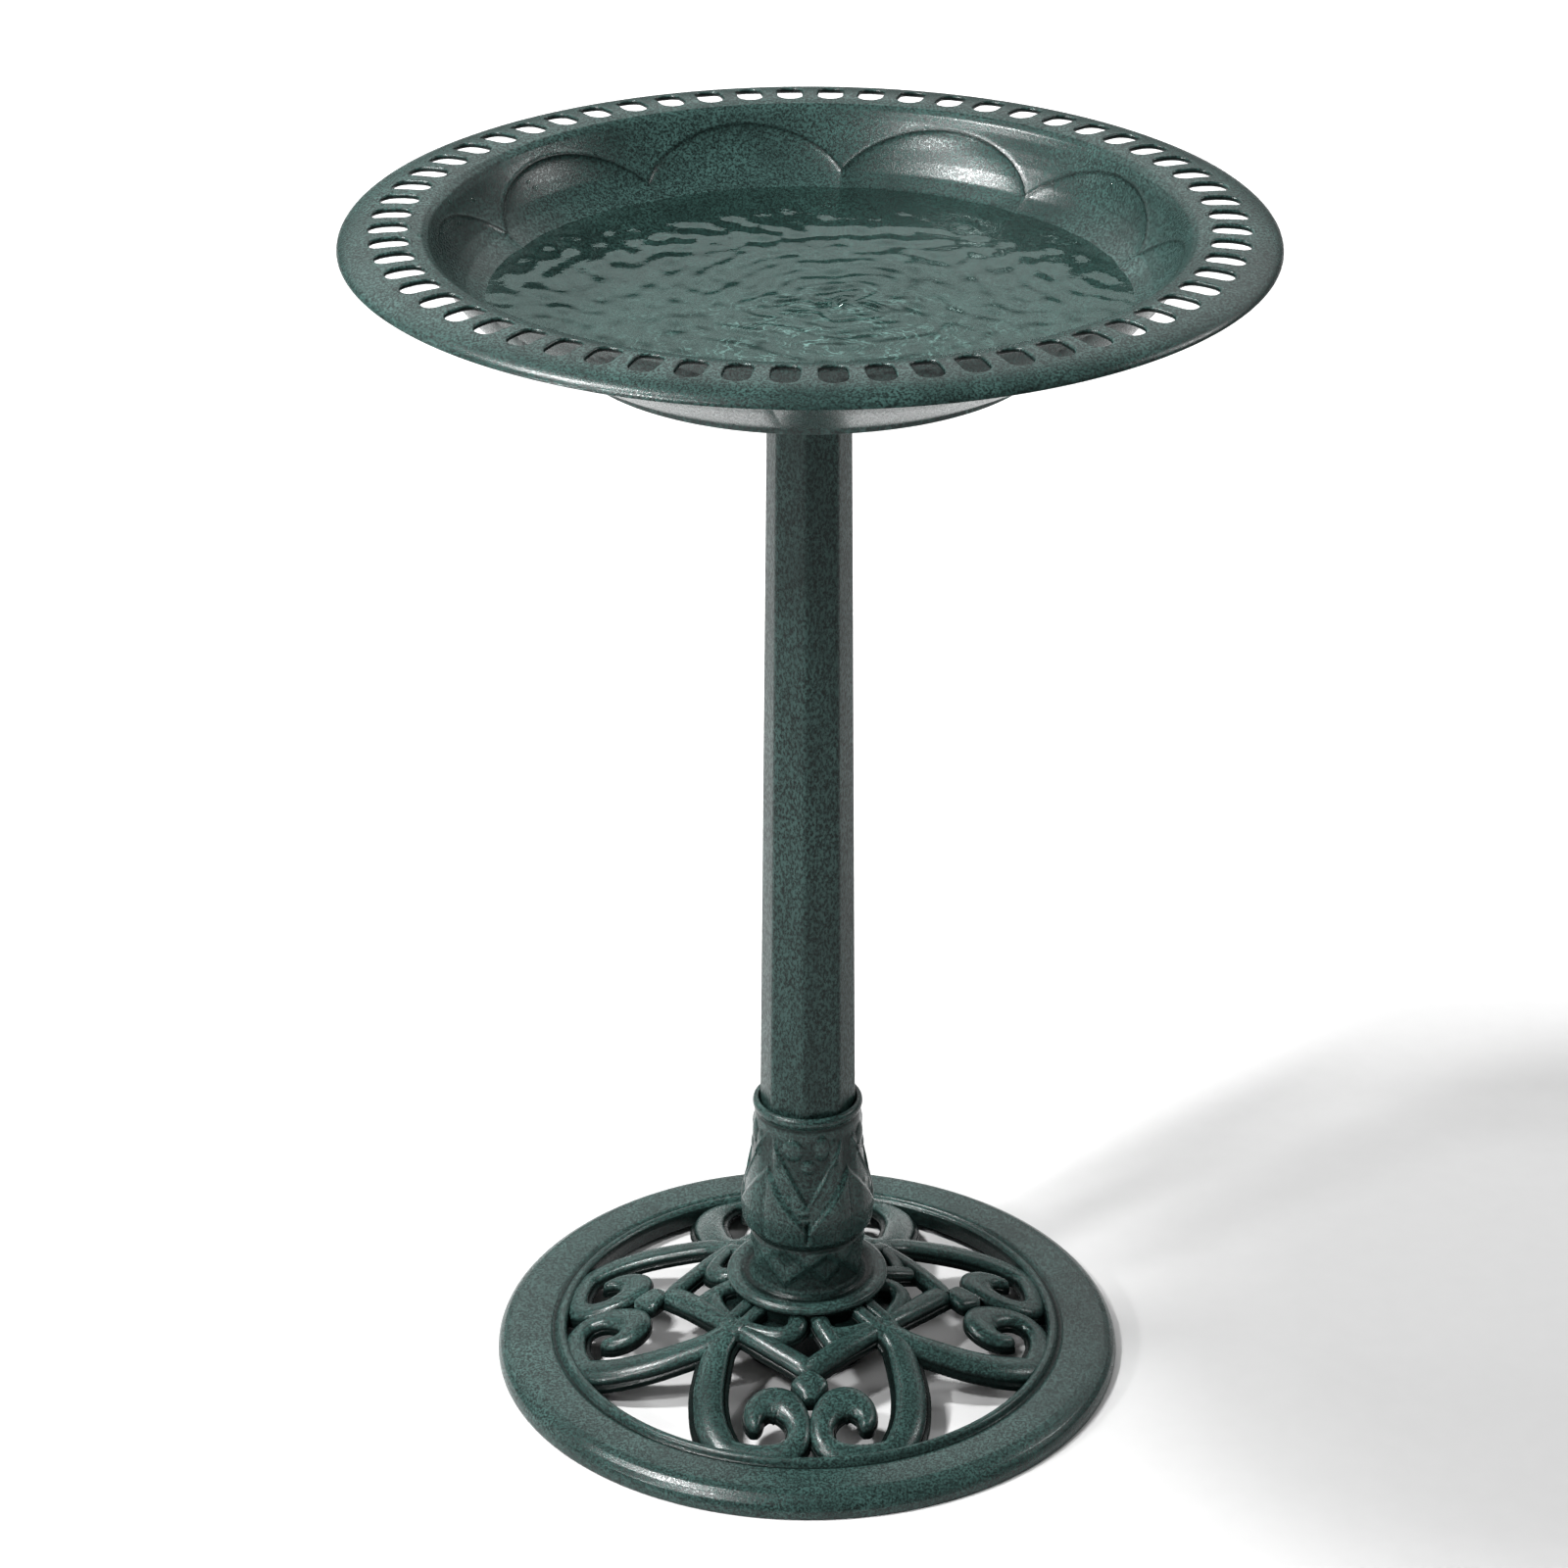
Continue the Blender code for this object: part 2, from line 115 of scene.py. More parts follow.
def mesh_object(name, verts, faces, finish, body, sharp=None, facing_up=False, recess=None):
    """A mesh piece with its material, riding on a body of the frame."""
    mesh = bpy.data.meshes.new(name)
    mesh.from_pydata(np.asarray(verts, float).tolist(), [], [tuple(f) for f in faces])
    mesh.validate()
    shape = bmesh.new()
    shape.from_mesh(mesh)
    bmesh.ops.recalc_face_normals(shape, faces=shape.faces)
    if facing_up and sum(face.normal.z for face in shape.faces) < 0:
        bmesh.ops.reverse_faces(shape, faces=shape.faces)
    shape.to_mesh(mesh)
    shape.free()
    mesh.shade_smooth()
    if sharp:
        mesh.set_sharp_from_angle(angle=math.radians(sharp))
    mesh.materials.append(finish)
    # The recess values are painted shade: the resin turns near-black and dull there.
    if recess is not None:
        layer = mesh.attributes.new("recess", "FLOAT", "POINT")
        layer.data.foreach_set("value", recess(np.asarray(verts, float)).astype(np.float32))
    made = bpy.data.objects.new(name, mesh)
    bpy.context.scene.collection.objects.link(made)
    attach(made, body)
    return made


def grid_faces(rows, columns, wrap_rows=False, wrap_columns=False, start=0):
    """Quads over a rows x columns block of vertices."""
    i = np.arange(rows if wrap_rows else rows - 1)
    j = np.arange(columns if wrap_columns else columns - 1)
    a, b = np.meshgrid(i, j, indexing="ij")
    a2 = (a + 1) % rows
    b2 = (b + 1) % columns
    quads = np.stack([a * columns + b, a2 * columns + b, a2 * columns + b2, a * columns + b2], -1)
    return quads.reshape(-1, 4) + start


class Blocks:
    """Gathers blocks of vertices and faces for one mesh."""

    def __init__(self):
        self.verts = []
        self.faces = []
        self.count = 0

    def add(self, points, **wraps):
        rows, columns = points.shape[:2]
        self.faces += grid_faces(rows, columns, start=self.count, **wraps).tolist()
        self.verts.append(points.reshape(-1, 3))
        self.count += rows * columns

    def add_faces(self, points, faces):
        self.faces += [[k + self.count for k in face] for face in faces]
        self.verts.append(np.asarray(points, float))
        self.count += len(points)

    def merged(self, distance=2e-6):
        """Vertices and faces with coincident vertices joined."""
        verts = np.concatenate(self.verts)
        keys = np.round(verts / distance).astype(np.int64)
        _, first, back = np.unique(keys, axis=0, return_index=True, return_inverse=True)
        back = back.reshape(-1)
        faces = []
        for face in self.faces:
            kept = []
            for corner in face:
                joined = int(back[corner])
                if joined not in kept:
                    kept.append(joined)
            if len(kept) > 2:
                faces.append(kept)
        return verts[first], faces


def curve(points, count):
    """count points spaced evenly along a smooth line through the given points."""
    given = np.asarray(points, float)
    ends = np.vstack([2 * given[0] - given[1], given, 2 * given[-1] - given[-2]])
    fine = []
    for k in range(1, len(ends) - 2):
        p0, p1, p2, p3 = ends[k - 1], ends[k], ends[k + 1], ends[k + 2]
        t = np.linspace(0, 1, 24, endpoint=False)[:, None]
        fine.append(0.5 * (2 * p1 + (p2 - p0) * t + (2 * p0 - 5 * p1 + 4 * p2 - p3) * t**2
                           + (3 * p1 - p0 - 3 * p2 + p3) * t**3))
    fine = np.vstack(fine + [ends[-2][None]])
    run = np.concatenate([[0], np.cumsum(np.linalg.norm(np.diff(fine[:, :2], axis=0), axis=1))])
    at = np.linspace(0, run[-1], count)
    return np.stack([np.interp(at, run, fine[:, k]) for k in range(fine.shape[1])], -1)


def rounded(outline, radius, steps=4):
    """An outline of (r, z) points with every corner rounded; the two end points stay."""
    made = [outline[0]]
    for before, here, after in zip(outline, outline[1:], outline[2:]):
        p, q, s = (Vector(item) for item in (before, here, after))
        reach = min(radius, 0.45 * (q - p).length, 0.45 * (s - q).length)
        start = q + (p - q).normalized() * reach
        end = q + (s - q).normalized() * reach
        for k in range(steps + 1):
            t = k / steps
            made.append(tuple((1 - t) ** 2 * start + 2 * t * (1 - t) * q + t * t * end))
    made.append(outline[-1])
    return made


def revolve(outline, steps, lift=None):
    """Points of an (r, z) line turned about Z, as a steps x len(outline) block."""
    line = np.asarray(outline, float)
    angle = np.linspace(0, 2 * np.pi, steps, endpoint=False)[:, None]
    radius = np.repeat(line[None, :, 0], steps, 0)
    height = np.repeat(line[None, :, 1], steps, 0)
    if lift is not None:
        radius, height = lift(angle, radius, height)
    return np.stack([radius * np.cos(angle), radius * np.sin(angle), height], -1)


def smoothstep(low, high, value):
    t = np.clip((value - low) / (high - low), 0, 1)
    return t * t * (3 - 2 * t)


# ---------------------------------------------------------------- materials

class Nodes:
    """Small wrapper that adds and links shader nodes."""

    def __init__(self, name):
        self.material = bpy.data.materials.new(name)
        self.material.use_nodes = True
        self.tree = self.material.node_tree
        self.shader = self.tree.nodes["Principled BSDF"]
        self.place = self.new("ShaderNodeTexCoord").outputs["Object"]

    def new(self, kind, **settings):
        node = self.tree.nodes.new(kind)
        for key, value in settings.items():
            setattr(node, key, value)
        return node

    def link(self, source, target):
        self.tree.links.new(source, target)

    def scaled(self, scale):
        mapping = self.new("ShaderNodeMapping")
        mapping.inputs["Scale"].default_value = scale
        self.link(self.place, mapping.inputs["Vector"])
        return mapping.outputs["Vector"]

    def noise(self, scale, detail=2.0, roughness=0.5, vector=None):
        node = self.new("ShaderNodeTexNoise")
        node.inputs["Scale"].default_value = scale
        node.inputs["Detail"].default_value = detail
        node.inputs["Roughness"].default_value = roughness
        self.link(vector or self.place, node.inputs["Vector"])
        return node.outputs["Fac"]

    def remap(self, value, low, high, to_low=0.0, to_high=1.0):
        node = self.new("ShaderNodeMapRange")
        node.inputs["From Min"].default_value = low
        node.inputs["From Max"].default_value = high
        node.inputs["To Min"].default_value = to_low
        node.inputs["To Max"].default_value = to_high
        self.link(value, node.inputs["Value"])
        return node.outputs["Result"]

    def mix(self, factor, first, second):
        node = self.new("ShaderNodeMix", data_type="RGBA")
        if isinstance(factor, float):
            node.inputs["Factor"].default_value = factor
        else:
            self.link(factor, node.inputs["Factor"])
        for socket, value in ((node.inputs["A"], first), (node.inputs["B"], second)):
            if isinstance(value, tuple):
                socket.default_value = (*value, 1.0)
            else:
                self.link(value, socket)
        return node.outputs["Result"]

    def maths(self, operation, *values):
        node = self.new("ShaderNodeMath", operation=operation)
        for socket, value in zip(node.inputs, values):
            if isinstance(value, (int, float)):
                socket.default_value = value
            else:
                self.link(value, socket)
        return node.outputs["Value"]

    def bump(self, height, strength, distance):
        node = self.new("ShaderNodeBump")
        node.inputs["Strength"].default_value = strength
        node.inputs["Distance"].default_value = distance
        self.link(height, node.inputs["Height"])
        return node.outputs["Normal"]


DARK = (0.0022, 0.0048, 0.0044)
MIDDLE = (0.0150, 0.0320, 0.0292)
LIGHT = (0.0570, 0.1190, 0.1080)
# Painted shade: near-black colour mixed in where a mesh's recess value is high.
PAINTED_SHADE = (0.0012, 0.0022, 0.0020)
# Painted light: colour of the caustic light lines painted on the bowl's floor.
PAINTED_CAUSTIC_LIGHT = (0.24, 0.42, 0.39)


def resin(name, light=1.0, roughness=0.32, stretch=(1.0, 1.0, 1.0), gloss=0.30, wet=False):
    """Dark green resin: fine stipple over broad mottling, with a satin sheen.

    Where a mesh has a recess value, painted shade makes the resin dark and dull. With wet, painted caustic
    light is added to the colour.
    """
    n = Nodes(name)
    place = n.scaled(stretch)
    speck = n.remap(n.noise(1150.0, 2.0, 0.6, place), 0.45, 0.57)
    fleck = n.remap(n.noise(700.0, 3.0, 0.65, place), 0.46, 0.565)
    broad = n.remap(n.noise(26.0, 4.0, 0.6, place), 0.30, 0.70)
    patch = n.remap(n.noise(7.0, 3.0, 0.5, place), 0.30, 0.72)
    ground = n.mix(speck, DARK, MIDDLE)
    share = n.maths("MULTIPLY", fleck, n.maths("ADD", n.maths("MULTIPLY", broad, 0.55), 0.26))
    colour = n.mix(share, ground, tuple(light * c for c in LIGHT))
    colour = n.mix(n.remap(patch, 0.0, 1.0, 0.0, 0.30), colour, tuple(0.85 * c for c in MIDDLE))
    # wet adds painted caustic light to the colour on the floor under the water.
    if wet:
        colour = n.mix(painted_caustic_light(n), colour, PAINTED_CAUSTIC_LIGHT)
    # Painted shade: the recess attribute mixes in near-black colour and lowers the gloss.
    recess = n.new("ShaderNodeAttribute", attribute_name="recess").outputs["Fac"]
    colour = n.mix(recess, colour, PAINTED_SHADE)
    n.link(colour, n.shader.inputs["Base Color"])
    n.link(n.remap(recess, 0.0, 1.0, gloss, 0.08), n.shader.inputs["Specular IOR Level"])
    rough = n.remap(fleck, 0.0, 1.0, roughness + 0.08, roughness - 0.05)
    n.link(rough, n.shader.inputs["Roughness"])
    grain = n.maths("ADD", n.maths("MULTIPLY", speck, 0.5), fleck)
    n.link(n.bump(grain, 0.22, 0.00010), n.shader.inputs["Normal"])
    return n.material


def painted_caustic_light(n):
    """Painted light: bright wavering caustic lines that moving water throws on the floor under it, painted
    into the colour.
    """
    apart = n.new("ShaderNodeSeparateXYZ")
    n.link(n.place, apart.inputs["Vector"])
    under = n.remap(apart.outputs["Z"], 0.6560, 0.6500)
    x = n.maths("SUBTRACT", apart.outputs["X"], SPLASH[0])
    y = n.maths("SUBTRACT", apart.outputs["Y"], SPLASH[1])
    away = n.maths("SQRT", n.maths("ADD", n.maths("MULTIPLY", x, x), n.maths("MULTIPLY", y, y)))
    waver = n.maths("MULTIPLY", n.noise(42.0, 3.0, 0.6), 0.055)
    wave = n.maths("SINE", n.maths("MULTIPLY", n.maths("ADD", away, waver), 520.0))
    rings = n.maths("POWER", n.maths("ABSOLUTE", wave), 14.0)
    torn = n.remap(n.noise(90.0, 2.0, 0.5), 0.40, 0.66)
    lines = n.maths("MULTIPLY", rings, torn)
    fade = n.remap(away, 0.035, 0.125, 0.85, 0.12)
    return n.maths("MULTIPLY", n.maths("MULTIPLY", lines, fade), under)


def steel(name):
    """Zinc-plated steel with fine turning marks."""
    n = Nodes(name)
    marks = n.noise(900.0, 2.0, 0.5, n.scaled((1.0, 1.0, 6.0)))
    stain = n.noise(140.0, 3.0, 0.6)
    n.link(n.mix(n.remap(stain, 0.3, 0.7), (0.46, 0.47, 0.48), (0.66, 0.66, 0.64)),
           n.shader.inputs["Base Color"])
    n.shader.inputs["Metallic"].default_value = 1.0
    n.link(n.remap(marks, 0.3, 0.7, 0.22, 0.42), n.shader.inputs["Roughness"])
    n.link(n.bump(marks, 0.3, 0.00005), n.shader.inputs["Normal"])
    return n.material


def water(name):
    """Clear water: a faint tint with a mirror-like gloss that rises at grazing angles."""
    n = Nodes(name)
    n.tree.nodes.remove(n.shader)
    clear = n.new("ShaderNodeBsdfTransparent")
    tint = n.mix(n.remap(n.noise(18.0, 3.0), 0.35, 0.65), (0.93, 0.965, 0.955), (0.86, 0.91, 0.895))
    n.link(tint, clear.inputs["Color"])
    gloss = n.new("ShaderNodeBsdfGlossy")
    gloss.inputs["Roughness"].default_value = 0.03
    gloss.inputs["Color"].default_value = (0.76, 0.97, 0.93, 1.0)
    fine = n.bump(n.noise(160.0, 3.0, 0.55), 0.25, 0.0006)
    n.link(fine, gloss.inputs["Normal"])
    fresnel = n.new("ShaderNodeFresnel")
    fresnel.inputs["IOR"].default_value = 1.33
    n.link(fine, fresnel.inputs["Normal"])
    blend = n.new("ShaderNodeMixShader")
    n.link(fresnel.outputs["Fac"], blend.inputs["Fac"])
    n.link(clear.outputs["BSDF"], blend.inputs[1])
    n.link(gloss.outputs["BSDF"], blend.inputs[2])
    n.link(blend.outputs["Shader"], n.tree.nodes["Material Output"].inputs["Surface"])
    return n.material


def floor_paint(name):
    """Near-white matt studio floor with a trace of grain."""
    n = Nodes(name)
    grain = n.noise(60.0, 3.0)
    n.link(n.mix(grain, (0.64, 0.64, 0.64), (0.67, 0.67, 0.67)), n.shader.inputs["Base Color"])
    n.shader.inputs["Roughness"].default_value = 0.9
    n.shader.inputs["Specular IOR Level"].default_value = 0.1
    return n.material


# ---------------------------------------------------------------- bowl

INNER_LINE = [
    (0.0000, 0.6485), (0.0400, 0.6485), (0.0900, 0.6485), (0.1200, 0.6485), (0.1272, 0.6486),
    (0.1305, 0.6493), (0.1340, 0.6507), (0.1420, 0.6552), (0.1520, 0.6612), (0.1650, 0.6690),
    (0.1760, 0.6757), (0.1845, 0.6818), (0.1905, 0.6880), (0.1955, 0.6945), (0.1997, 0.7010),
    (0.2030, 0.7070), (0.2058, 0.7110), (0.2092, 0.7134), (CELL_INNER, 0.7143),
]
RIM_LINE = [
    (CELL_INNER, 0.7143), (0.2170, 0.71485), (0.2210, 0.7150), (0.2260, 0.7150), (0.2310, 0.7147),
    (0.2360, 0.7141), (CELL_OUTER, 0.7134),
]
LIP_LINE = [
    (CELL_OUTER, 0.7134), (0.2450, 0.7124), (0.2490, 0.7110), (0.2520, 0.7096), (0.2538, 0.7081),
    (0.2547, 0.7067), (0.2549, 0.7058), (0.2544, 0.7054), (0.2534, 0.7056), (0.2520, 0.7067),
    (0.2495, 0.7080), (0.2450, 0.7096), (CELL_OUTER, 0.7105),
]


def petal_edge(angle, height):
    """Distance inside a petal's arched edge, level on the wall, and degrees from the petal's middle."""
    turn = np.degrees(angle) - PETAL_TURN
    aside = np.abs((turn + PETAL_HALF) % (2 * PETAL_HALF) - PETAL_HALF)
    arch = np.sqrt(np.clip(1 - (aside / 23.6) ** 1.92, 0, 1))
    level = (height - 0.641) / 0.064
    return (arch - level) * 0.078, level, aside


def petal_dish(angle, height):
    """How far the wall is pushed outwards by the scalloped petals, in metres."""
    over, level, aside = petal_edge(angle, height)
    beside = np.radians(PETAL_HALF - aside) * 0.19
    near = np.minimum(over * 0.8, beside)
    inside = over > 0
    dish = 0.0016 * (1 - np.exp(-np.clip(near, 0, 1) / 0.0085)) * (0.30 + 0.70 * smoothstep(0.3, 0.8, level))
    groove = -0.00045 * np.exp(-(over / 0.0010) ** 2)
    fade = smoothstep(0.6490, 0.6600, height) * (1 - smoothstep(0.7085, 0.7120, height))
    return (np.where(inside, dish, 0) + groove * (aside < PETAL_HALF)) * fade


def wall_lift(angle, radius, height):
    """Pushes the bowl's wall out and down where the petals are."""
    dish = petal_dish(angle, height)
    return radius + dish, height - 0.55 * dish


def densify(line, spacing):
    """The line with straight runs split so that no step is longer than spacing."""
    given = np.asarray(line, float)
    made = [given[0]]
    for a, b in zip(given, given[1:]):
        parts = max(1, int(math.ceil(np.linalg.norm(b - a) / spacing)))
        for k in range(1, parts + 1):
            made.append(a + (b - a) * k / parts)
    return np.array(made)


def offset_line(line, distance):
    """The (r, z) line moved to its outer side by distance."""
    given = np.asarray(line, float)
    along = np.gradient(given, axis=0)
    along /= np.linalg.norm(along, axis=1)[:, None]
    return given + distance * np.stack([along[:, 1], -along[:, 0]], -1)


def rim_height(radius):
    """Height of the rim's top at a distance from the axis."""
    line = np.asarray(RIM_LINE)
    return np.interp(radius, line[:, 0], line[:, 1])


def cell_edge():
    """Points (x, y) round one rim cell, inner edge first."""
    per_cell = RIM_STEPS // SLOTS
    sides = 10
    half = math.pi / SLOTS
    inner = [(CELL_INNER, t) for t in np.linspace(-half, half, per_cell + 1)[:-1]]
    right = [(r, half) for r in np.linspace(CELL_INNER, CELL_OUTER, sides + 1)[:-1]]
    outer = [(CELL_OUTER, t) for t in np.linspace(half, -half, per_cell + 1)[:-1]]
    left = [(r, -half) for r in np.linspace(CELL_OUTER, CELL_INNER, sides + 1)[:-1]]
    return np.array([(r * math.cos(t), r * math.sin(t)) for r, t in inner + right + outer + left])


def slot_edge(edge):
    """Where the lines from the slot's middle to the cell's edge cross the round-ended slot."""
    slot = []
    straight = SLOT_HALF_LENGTH - SLOT_HALF_WIDTH * 0.92
    for x, y in edge - np.array([SLOT_MIDDLE, 0.0]):
        low, high = 0.0, 1.0
        for _ in range(30):
            middle = (low + high) / 2
            px, py = abs(x * middle), abs(y * middle)
            beyond = max(px - straight, 0.0) / (SLOT_HALF_LENGTH - straight)
            inside = beyond**2.3 + (py / SLOT_HALF_WIDTH) ** 2.3 < 1
            low, high = (middle, high) if inside else (low, middle)
        slot.append((SLOT_MIDDLE + x * low, y * low))
    return np.array(slot)


def slot_cells(blocks):
    """The rim between its inner and outer edge: sixty cells, each with a soft-edged slot."""
    edge = cell_edge()
    slot = slot_edge(edge)
    way = edge - slot
    gap = np.linalg.norm(way, axis=1)[:, None]
    soft = 0.0013
    levels = [(edge, 0.0), (slot + way * 0.6, 0.0)]
    for reach in (0.0020, 0.0013, 0.0009, 0.0005, 0.0002, 0.0):
        drop = soft - np.sqrt(max(soft**2 - (soft - min(reach, soft)) ** 2, 0.0))
        levels.append((slot + way * np.minimum(reach / gap, 0.9), drop))
    levels.append((slot, WALL - 0.0006))
    levels.append((slot + way * np.minimum(0.0008 / gap, 0.9), WALL))
    levels.append((edge, WALL))
    rings = []
    for points, drop in levels:
        z = rim_height(np.hypot(points[:, 0], points[:, 1])) - drop
        rings.append(np.column_stack([points, z]))
    cell = np.array(rings)
    for index in range(SLOTS):
        turn = (index + 0.5) * 2 * math.pi / SLOTS
        c, s = math.cos(turn), math.sin(turn)
        spun = cell.copy()
        spun[..., 0] = cell[..., 0] * c - cell[..., 1] * s
        spun[..., 1] = cell[..., 0] * s + cell[..., 1] * c
        blocks.add(spun, wrap_columns=True)


def tube_points(radius, low, high, centre, steps=24):
    """A plain upright rod with rounded ends, as points for Blocks.add."""
    line = rounded([(0.0, low), (radius, low), (radius, high), (0.0, high)], 0.0008)
    points = revolve(line, steps)
    points[..., 0] += centre[0]
    points[..., 1] += centre[1]
    return points


def bowl_painted_shade(verts):
    """Painted shade: dark in the engraved line round each petal and down in the slots."""
    distance = np.hypot(verts[:, 0], verts[:, 1])
    over, _, aside = petal_edge(np.arctan2(verts[:, 1], verts[:, 0]), verts[:, 2])
    wall = smoothstep(0.6500, 0.6580, verts[:, 2]) * (1 - smoothstep(0.7070, 0.7100, verts[:, 2]))
    line = np.exp(-(over / 0.0011) ** 2) * (aside < PETAL_HALF) * wall
    slot = (distance > CELL_INNER) & (distance < CELL_OUTER) & (verts[:, 2] < rim_height(distance) - 0.0008)
    return np.where(slot, 0.8, 0.75 * line)


def build_bowl(finish):
    """The bowl's shell, from its floor over the rim to the foot ring, and its four screw bosses."""
    blocks = Blocks()
    inner = densify(INNER_LINE, 0.0011)
    floor = inner[inner[:, 0] < 0.125]
    keep = np.concatenate([floor[::14], inner[len(floor):]])
    keep[-1] = INNER_LINE[-1]
    blocks.add(revolve(keep, RIM_STEPS, wall_lift), wrap_rows=True)
    slot_cells(blocks)
    lip = np.asarray(LIP_LINE)
    lip[-1] = (CELL_OUTER, rim_height(CELL_OUTER) - WALL)
    blocks.add(revolve(lip, RIM_STEPS), wrap_rows=True)
    outside = offset_line(densify(INNER_LINE[6:], 0.003), WALL)[::-1]
    outside[0] = (CELL_INNER, rim_height(CELL_INNER) - WALL)
    blocks.add(revolve(outside, RIM_STEPS, wall_lift), wrap_rows=True)
    last = tuple(outside[-1])
    foot = rounded([last, (0.1319, 0.6466), (0.1319, 0.6435), (0.1289, 0.6435), (0.1289, 0.6455),
                    (0.0, 0.6455)], 0.0007, 3)
    blocks.add(revolve(foot, RIM_STEPS), wrap_rows=True)
    verts, faces = blocks.merged()
    mesh_object("bowl_shell", verts, faces, finish, BOWL_BODY, 50, recess=bowl_painted_shade)
    bosses = Blocks()
    for k in range(SCREWS):
        turn = 2 * math.pi * k / SCREWS
        centre = (0.034 * math.cos(turn), 0.034 * math.sin(turn))
        bosses.add(tube_points(0.005, 0.6345, 0.6462, centre), wrap_rows=True)
    verts, faces = bosses.merged()
    mesh_object("bowl_bosses", verts, faces, finish, BOWL_BODY, 50)


# ---------------------------------------------------------------- water

def ripple(x, y):
    """Height of the disturbed surface above the still level."""
    dx, dy = x - SPLASH[0], y - SPLASH[1]
    away = np.hypot(dx, dy)
    angle = np.arctan2(dy, dx)
    wobble = 0.006 * np.sin(3 * angle + 1.0) + 0.004 * np.sin(5 * angle + 0.4)
    rings = np.sin((away + wobble) * 2 * np.pi / 0.0125) * np.exp(-away / 0.055)
    wide = np.sin((away + 2 * wobble) * 2 * np.pi / 0.031 + 0.8) * np.exp(-away / 0.13)
    height = 0.00036 * rings + 0.00038 * wide
    for k in range(9):
        turn = 0.7 * k + 0.35
        length = 0.016 + 0.0037 * (k % 4)
        phase = (x * math.cos(turn) + y * math.sin(turn)) * 2 * math.pi / length
        bend = 1.5 * np.sin(x * 61 + 1.7 * k) + 1.3 * np.sin(y * 53 + 0.9 * k)
        height = height + 0.000085 * np.sin(phase + bend)
    return height


def build_water(finish):
    """The water's surface, out to the scalloped wall, with a small rise where it clings."""
    steps = 540
    radii = np.linspace(0, 0.1802, 230)
    angle = np.linspace(0, 2 * np.pi, steps, endpoint=False)[:, None]
    radius = np.repeat(radii[None], steps, 0)
    dish = petal_dish(angle, np.full_like(radius, WATER_LEVEL))
    edge = smoothstep(0.150, 0.1802, radius)
    radius = radius + edge * (dish - 0.0016)
    x, y = radius * np.cos(angle), radius * np.sin(angle)
    rim = 1 - smoothstep(0.165, 0.1788, radius)
    z = WATER_LEVEL + ripple(x, y) * (0.25 + 0.75 * rim) + 0.0006 * smoothstep(0.1765, 0.1790, radius)
    blocks = Blocks()
    blocks.add(np.stack([x, y, z], -1), wrap_rows=True)
    verts, faces = blocks.merged()
    mesh_object("water_surface", verts, faces, finish, BOWL_BODY, facing_up=True)


DROPLETS = (  # degrees, distance from the axis, height of the wall there, drop radius in mm
    (158.7, 0.2000, 0.7016, 1.6), (166.2, 0.2038, 0.7082, 1.3), (185.7, 0.2097, 0.7136, 1.5),
    (143.4, 0.1968, 0.6964, 1.2), (142.5, 0.1940, 0.6926, 1.5), (173.7, 0.2340, 0.7142, 1.0),
    (168.6, 0.2340, 0.7142, 1.0), (166.8, 0.1972, 0.6971, 1.4), (188.1, 0.2014, 0.7040, 1.1),
    (349.5, 0.1972, 0.6971, 1.5), (32.1, 0.1989, 0.6997, 1.3), (150.5, 0.1965, 0.6960, 0.9),
    (176.0, 0.2005, 0.7025, 1.0), (128.0, 0.1993, 0.7004, 1.0), (20.5, 0.1966, 0.6962, 1.0),
)


def build_droplets(finish):
    """Beads of water left on the wall and rim."""
    line = np.asarray(INNER_LINE + RIM_LINE[1:])
    blocks = Blocks()
    for degrees, distance, level, size in DROPLETS:
        turn = math.radians(degrees)
        at = int(np.argmin(np.abs(line[:, 0] - distance)))
        slope = line[min(at + 1, len(line) - 1)] - line[at - 1]
        slope = slope / np.linalg.norm(slope)
        push = float(petal_dish(np.array(turn), np.array(level)))
        here = np.array([(distance + push) * math.cos(turn), (distance + push) * math.sin(turn), level])
        out = np.array([slope[0] * math.cos(turn), slope[0] * math.sin(turn), slope[1]])
        side = np.array([-math.sin(turn), math.cos(turn), 0.0])
        up = np.cross(out, side)
        up *= math.copysign(1.0, up[2])
        dome = revolve([(0.0, 0.62)] + [(math.sin(t), 0.62 * math.cos(t)) for t in np.linspace(0.12, 2.3, 12)]
                       + [(0.0, -0.62)], 20) * size / 1000
        blocks.add(here + dome[..., :1] * side + dome[..., 1:2] * out + dome[..., 2:] * up, wrap_rows=True)
    verts, faces = blocks.merged(1e-7)
    mesh_object("water_droplets", verts, faces, finish, BOWL_BODY)


# ---------------------------------------------------------------- column

